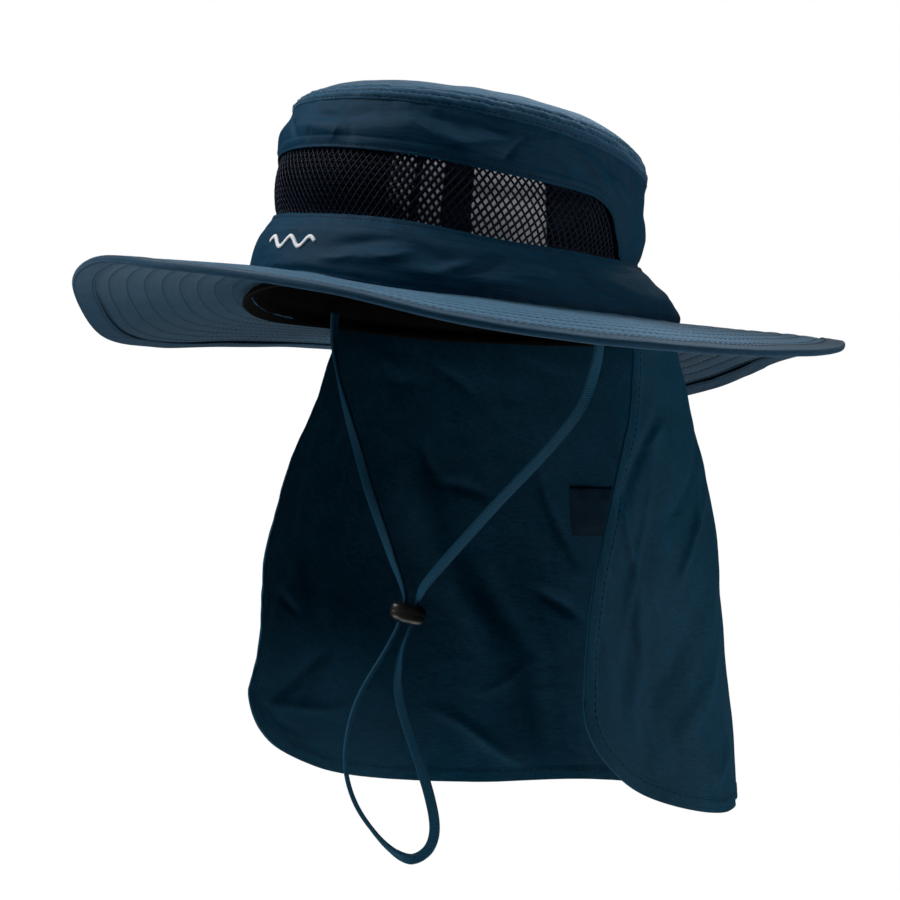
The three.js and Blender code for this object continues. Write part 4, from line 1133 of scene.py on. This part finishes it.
patchLook = {"along": 0.555, "fall": 0.4, "width": 26, "height": 23, "acrossMm": 375}


def patchPiece(look):
    wide, tall = look["width"] / look["acrossMm"], look["height"] / hatSizes["flapDrop"]
    u = look["along"] + wide * np.linspace(-0.5, 0.5, 30)
    v = look["fall"] + tall * np.linspace(-0.5, 0.5, 28)
    uGrid, vGrid = np.meshgrid(u, v[::-1])
    points = flapSurface(flapPoint(uGrid, vGrid).reshape(-1, 3), -1).reshape(uGrid.shape + (3,))
    normal = gridNormals(points, False)
    edge = np.minimum(np.minimum(uGrid - u[0], u[-1] - uGrid) * look["acrossMm"],
                      np.minimum(vGrid - v[0], v[-1] - vGrid) * hatSizes["flapDrop"])
    swell = 0.25 + 0.3 * smooth(edge, 0, 1.0) + 0.4 * smooth(edge, 2, 6) + softNoise(uGrid * 60, vGrid * 40, 75) * 0.25
    patch = sheetObject("flapPocketPatch", points - normal * 0.2, np.zeros(uGrid.shape), 0.25 + swell, False)
    finishPiece(patch, patchNylon, "patch_cloth", "flap_patch")
    ring = [(0.06, 0.06), (0.94, 0.06), (0.94, 0.94), (0.06, 0.94), (0.06, 0.06)]
    inner = points - normal * (0.45 + swell)[..., None]
    row = [inner[int(lerp(b, d, t) * 27), int(lerp(a, c, t) * 29)]
           for (a, b), (c, d) in zip(ring[:-1], ring[1:]) for t in np.linspace(0, 1, 12)[:-1]]
    sewRows("patchStitches", [(np.array(row), True)])


patchPiece(patchLook)
print("patch made")


# Chin cord and its lock

cordLook = {"width": 4.6, "wall": 2.0, "steps": 520, "sides": 16, "girth": 11.5}
lockPlace = {"at": (-32, -3, -129), "roll": -14, "face": -45, "length": 15.5, "height": 8.4, "depth": 10, "legs": 5.2}
cordRoute = [  # x, y, z in metres and the turn that the flat of the cord looks to
    (0.078, -0.003, -0.001, 88), (0.0785, -0.003, -0.016, 80), (0.075, -0.003, -0.028, 65),
    (0.069, -0.003, -0.040, 55), (0.058, -0.003, -0.051, 50), (0.045, -0.003, -0.062, 45),
    (0.023, -0.003, -0.079, 45), (0.006, -0.003, -0.093, 40), (-0.012, -0.003, -0.108, 15),
    (-0.023, -0.003, -0.118, -20), ("leg", 1, 1, -45), ("leg", 1, 0.3, -45), ("leg", 1, -0.3, -45),
    ("leg", 1, -1, -45), (-0.033, -0.005, -0.143, -25), (-0.035, -0.006, -0.157, 15),
    (-0.034, -0.005, -0.169, 40), (-0.031, -0.002, -0.183, 45), (-0.028, 0.001, -0.196, 45),
    (-0.025, 0.004, -0.211, 45), (-0.024, 0.005, -0.223, 40), (-0.026, 0.003, -0.231, 25),
    (-0.031, -0.002, -0.235, 0), (-0.037, -0.008, -0.231, -25), (-0.043, -0.014, -0.222, -40),
    (-0.048, -0.019, -0.211, -45), (-0.051, -0.022, -0.196, -45), (-0.050, -0.021, -0.178, -45),
    (-0.046, -0.017, -0.162, -45), (-0.040, -0.011, -0.148, -45), ("leg", -1, -1, -45), ("leg", -1, -0.3, -45),
    ("leg", -1, 0.3, -45), ("leg", -1, 1, -45), (-0.041, -0.003, -0.107, -10), (-0.048, -0.003, -0.093, 20),
    (-0.056, -0.003, -0.077, 30), (-0.063, -0.003, -0.060, 20), (-0.070, -0.003, -0.043, -10),
    (-0.076, -0.003, -0.026, -45), (-0.0785, -0.003, -0.012, -75), (-0.078, -0.003, 0.001, -88),
]


def lockAxes():
    face, roll = math.radians(lockPlace["face"]), math.radians(lockPlace["roll"])
    across = np.array([math.cos(face), -math.sin(face), 0])
    deep = np.cross([0, 0, 1], across)
    turnedAcross = across * math.cos(roll) + np.array([0, 0, 1]) * math.sin(roll)
    along = np.array([0, 0, 1]) * math.cos(roll) - across * math.sin(roll)
    return turnedAcross, deep, along, np.array(lockPlace["at"], float)


def lockPoint(x, y, z):
    across, deep, along, middle = lockAxes()
    return middle + np.multiply.outer(x, across) + np.multiply.outer(y, deep) + np.multiply.outer(z, along)


def cordStops():
    clear = lockPlace["height"] / 2 + 1.5
    stops = []
    for a, b, c, _ in cordRoute:
        stops.append(lockPoint(b * lockPlace["legs"] / 2, 0.0, c * clear) if a == "leg" else np.array([a, b, c]) / mm)
    return np.array(stops), np.array([row[3] for row in cordRoute], float)


def squared(value, power):
    return np.sign(value) * np.abs(value) ** power


def curveThrough(stops, count):
    # centripetal curve through the stops
    ends = np.concatenate([[2 * stops[0] - stops[1]], stops, [2 * stops[-1] - stops[-2]]])
    places = np.linspace(0, len(stops) - 1, count)
    points = []
    for place in places:
        k = min(int(place), len(stops) - 2)
        p = ends[k:k + 4]
        knots = np.concatenate([[0], np.cumsum(np.linalg.norm(np.diff(p, axis=0), axis=1) ** 0.5)])
        t = knots[1] + (place - k) * (knots[2] - knots[1])
        for level in (1, 2, 3):
            p = np.array([p[j] * (knots[j + level] - t) / (knots[j + level] - knots[j])
                          + p[j + 1] * (t - knots[j]) / (knots[j + level] - knots[j]) for j in range(4 - level)])
        points.append(p[0])
    return np.array(points), places


def cordPiece(look):
    stops, faces = cordStops()
    path, places = curveThrough(stops, look["steps"])
    face = np.radians(np.interp(places, np.arange(len(stops)), faces))
    tangent = unitRows(np.gradient(path, axis=0))
    thin = np.stack([np.sin(face), -np.cos(face), 0 * face], -1)
    thin = unitRows(thin - (thin * tangent).sum(1, keepdims=True) * tangent)
    wide = np.cross(tangent, thin)
    sides, count = look["sides"], len(path)
    angles = (np.arange(sides) + 0.5) / sides * 2 * np.pi
    rings = (path[:, None] + thin[:, None] * (squared(np.cos(angles), 0.6) * look["wall"] / 2)[None, :, None]
             + wide[:, None] * (squared(np.sin(angles), 0.6) * look["width"] / 2)[None, :, None])
    lengths = np.concatenate([[0], np.cumsum(np.linalg.norm(np.diff(path, axis=0), axis=1))])
    uv = np.stack(np.broadcast_arrays(np.linspace(0, look["girth"], sides + 1), lengths[:, None]), -1).reshape(-1, 2)
    uvFaces = quads(np.arange((sides + 1) * count).reshape(count, sides + 1))
    corners = np.concatenate([uv[uvFaces].reshape(-1, 2), np.zeros((2 * sides, 2))]) * mm
    obj = makeObject("chinCordBraid", rings.reshape(-1, 3), tubeFaces(count, sides), corners)
    return obj, path * mm, lengths[-1] * mm


def braidMaterial(name, colour):
    # flat braid: two slanting families of strands that cross in a chevron; the colour is darker in the gaps between
    # strands, as painted shade
    material, tree, bsdf = newMaterial(name, {"Roughness": 0.6, "Specular IOR Level": 0.12})
    coords = newNode(tree, "ShaderNodeTexCoord")
    place = newNode(tree, "ShaderNodeSeparateXYZ", {"Vector": coords.outputs["UV"]}).outputs
    slant = mathNode(tree, "ADD", mathNode(tree, "PINGPONG", place["X"], 0.00144), place["Y"])
    wave = mathNode(tree, "SINE", mathNode(tree, "MULTIPLY", slant, 2 * math.pi / 0.0011))
    share = newNode(tree, "ShaderNodeMapRange", {"Value": wave}, **{"From Min": -1})
    toneAndRelief(tree, bsdf, share.outputs["Result"], colour, [(0, 0.55), (1, 1.25)], 0.6, 0.0003)
    return material


cordObject, cordPath, cordLength = cordPiece(cordLook)
finishPiece(cordObject, braidMaterial("cordBraid", (0.003, 0.055, 0.105)), "cord_braid", "chin_cord")
print("cord made, metres:", round(cordLength, 4))


def lockPiece(look):
    rows, sides = 30, 48
    heights = np.linspace(-1, 1, rows)
    angles = np.arange(sides) / sides * 2 * np.pi
    parting = 1 - 0.02 * bell(heights, 0.06)  # between the lock's two halves
    ring = (np.sqrt(1 - (0.9 * heights) ** 4) * parting)[:, None]
    x = squared(np.cos(angles), 0.85) * ring * look["length"] / 2
    y = squared(np.sin(angles), 0.85) * ring * look["depth"] / 2
    z = (heights * look["height"] / 2)[:, None] + 0 * x
    obj = makeObject("cordLockBead", lockPoint(x, y, z).reshape(-1, 3), tubeFaces(rows, sides))
    cutter = [lockPoint(leg * look["legs"] / 2 + sx * 1.45, sy * 2.75, sz * 9) for leg in (-1, 1) for sz in (-1, 1)
              for sx, sy in ((-1, -1), (1, -1), (1, 1), (-1, 1))]
    box = [(0, 3, 2, 1), (4, 5, 6, 7), (0, 1, 5, 4), (1, 2, 6, 5), (2, 3, 7, 6), (3, 0, 4, 7)]
    slots = makeObject("lockSlots", cutter, [[i + 8 * n for i in face] for n in (0, 1) for face in box])
    cut = obj.modifiers.new("slots", "BOOLEAN")
    cut.object, cut.solver, cut.operation = slots, "EXACT", "DIFFERENCE"
    made = bpy.data.meshes.new_from_object(obj.evaluated_get(bpy.context.evaluated_depsgraph_get()))
    obj.modifiers.clear()
    obj.data = made
    bpy.data.objects.remove(slots)
    made.shade_smooth()
    made.set_sharp_from_angle(angle=math.radians(38))
    return obj


def plasticMaterial(name, colour):
    # moulded plastic: half gloss, with a very fine skin and faint handling marks
    material, tree, bsdf = newMaterial(name, {})
    coords = newNode(tree, "ShaderNodeTexCoord")
    noise = newNode(tree, "ShaderNodeTexNoise", {"Vector": coords.outputs["Object"]}, Scale=420.0, Detail=3.0)
    marks = noise.outputs["Fac"]
    rough = newNode(tree, "ShaderNodeMapRange", {"Value": marks}, **{"To Min": 0.3, "To Max": 0.44})
    wire(tree, bsdf, {"Roughness": rough.outputs["Result"]})
    toneAndRelief(tree, bsdf, marks, colour, [(0.3, 0.8), (0.7, 1.2)], 0.08, 0.0001)
    return material


lockPlastic = plasticMaterial("lockPlastic", (0.008, 0.006, 0.005))
lock = finishPiece(lockPiece(lockPlace), lockPlastic, "lock_plastic", "cord_lock")
print("cord lock made")


# Wave line worked in white satin stitch on the front of the lower band

motifLook = {"turn": -5, "level": 0.5, "width": 33, "height": 6, "line": 1.9, "waves": 2.5, "rise": 0.75}


def motifPiece(look):
    steps, sides = 260, 10
    line, width, climb = look["line"], look["width"], look["height"] / 2
    t = np.linspace(0, 1, steps)
    phase = 2 * np.pi * look["waves"] * t
    tilt = np.arctan(climb * 2 * np.pi * look["waves"] * np.cos(phase) / width)
    ends = np.clip(np.minimum(t, 1 - t) * width / (line * 0.5), 0, 1)
    # ends round off, and each thread shows
    full = np.sqrt(1 - (1 - ends) ** 2) * (1 + 0.07 * np.sin(t * width * 2 * np.pi / 0.42))
    rings = []
    for angle in np.linspace(0, np.pi, sides):
        side = math.cos(angle) * full * line / 2
        x = (t - 0.5) * (width - line) - side * np.sin(tilt)
        y = (climb - line / 2) * np.sin(phase) + side * np.cos(tilt)
        turn, level = look["turn"] + x * 0.68, look["level"] + y / crown["lowerMm"]
        rings.append(crownSkin(turn, level, lowerHeight(turn, level) + math.sin(angle) * look["rise"] * full + 0.02))
    grid = np.arange(sides * steps).reshape(sides, steps)
    faces = quads(np.concatenate([grid, grid[:1]])).tolist() + [grid[::-1, 0].tolist(), grid[:, -1].tolist()]
    return makeObject("waveEmbroidery", np.array(rings).reshape(-1, 3), faces, join=1e-7, outward=True)


finishPiece(motifPiece(motifLook), whiteThread, "thread", "motif")
print("wave line made")


# Pale sheets inside the back of the crown, seen through the net: painted light, standing in for the light that shows
# through the nets there

lightSheetLook = {  # turn at the middle, width in degrees, lower and upper level
    "backLightSheet": (212, 27, 1.5, 3.3), "sideLightSheet": (251, 9, 1.7, 3.3), "endLightSheet": (240, 8, 1.7, 3.3),
}


def lightSheetPiece(name, middle, width, low, high):
    turns, levels = np.meshgrid(np.linspace(middle - width / 2, middle + width / 2, 36), np.linspace(low, high, 34))
    free, across = (high - levels) / (high - low), (turns - middle) / width
    sag = free ** 2 + 1.2 * free * across ** 2 + softNoise(turns / 6, levels * 2, 81) * 0.3 * free
    piece = sheetObject(name, crownSkin(turns, levels, -3.0 - sag), np.zeros(turns.shape), 0.35, False)
    # painted light: the pale sheet stands for light showing through the nets
    finishPiece(piece, paintedLightSatin, "thread")


for lightSheetName, lightSheetSizes in lightSheetLook.items():
    lightSheetPiece(lightSheetName, *lightSheetSizes)
print("lightSheets made")
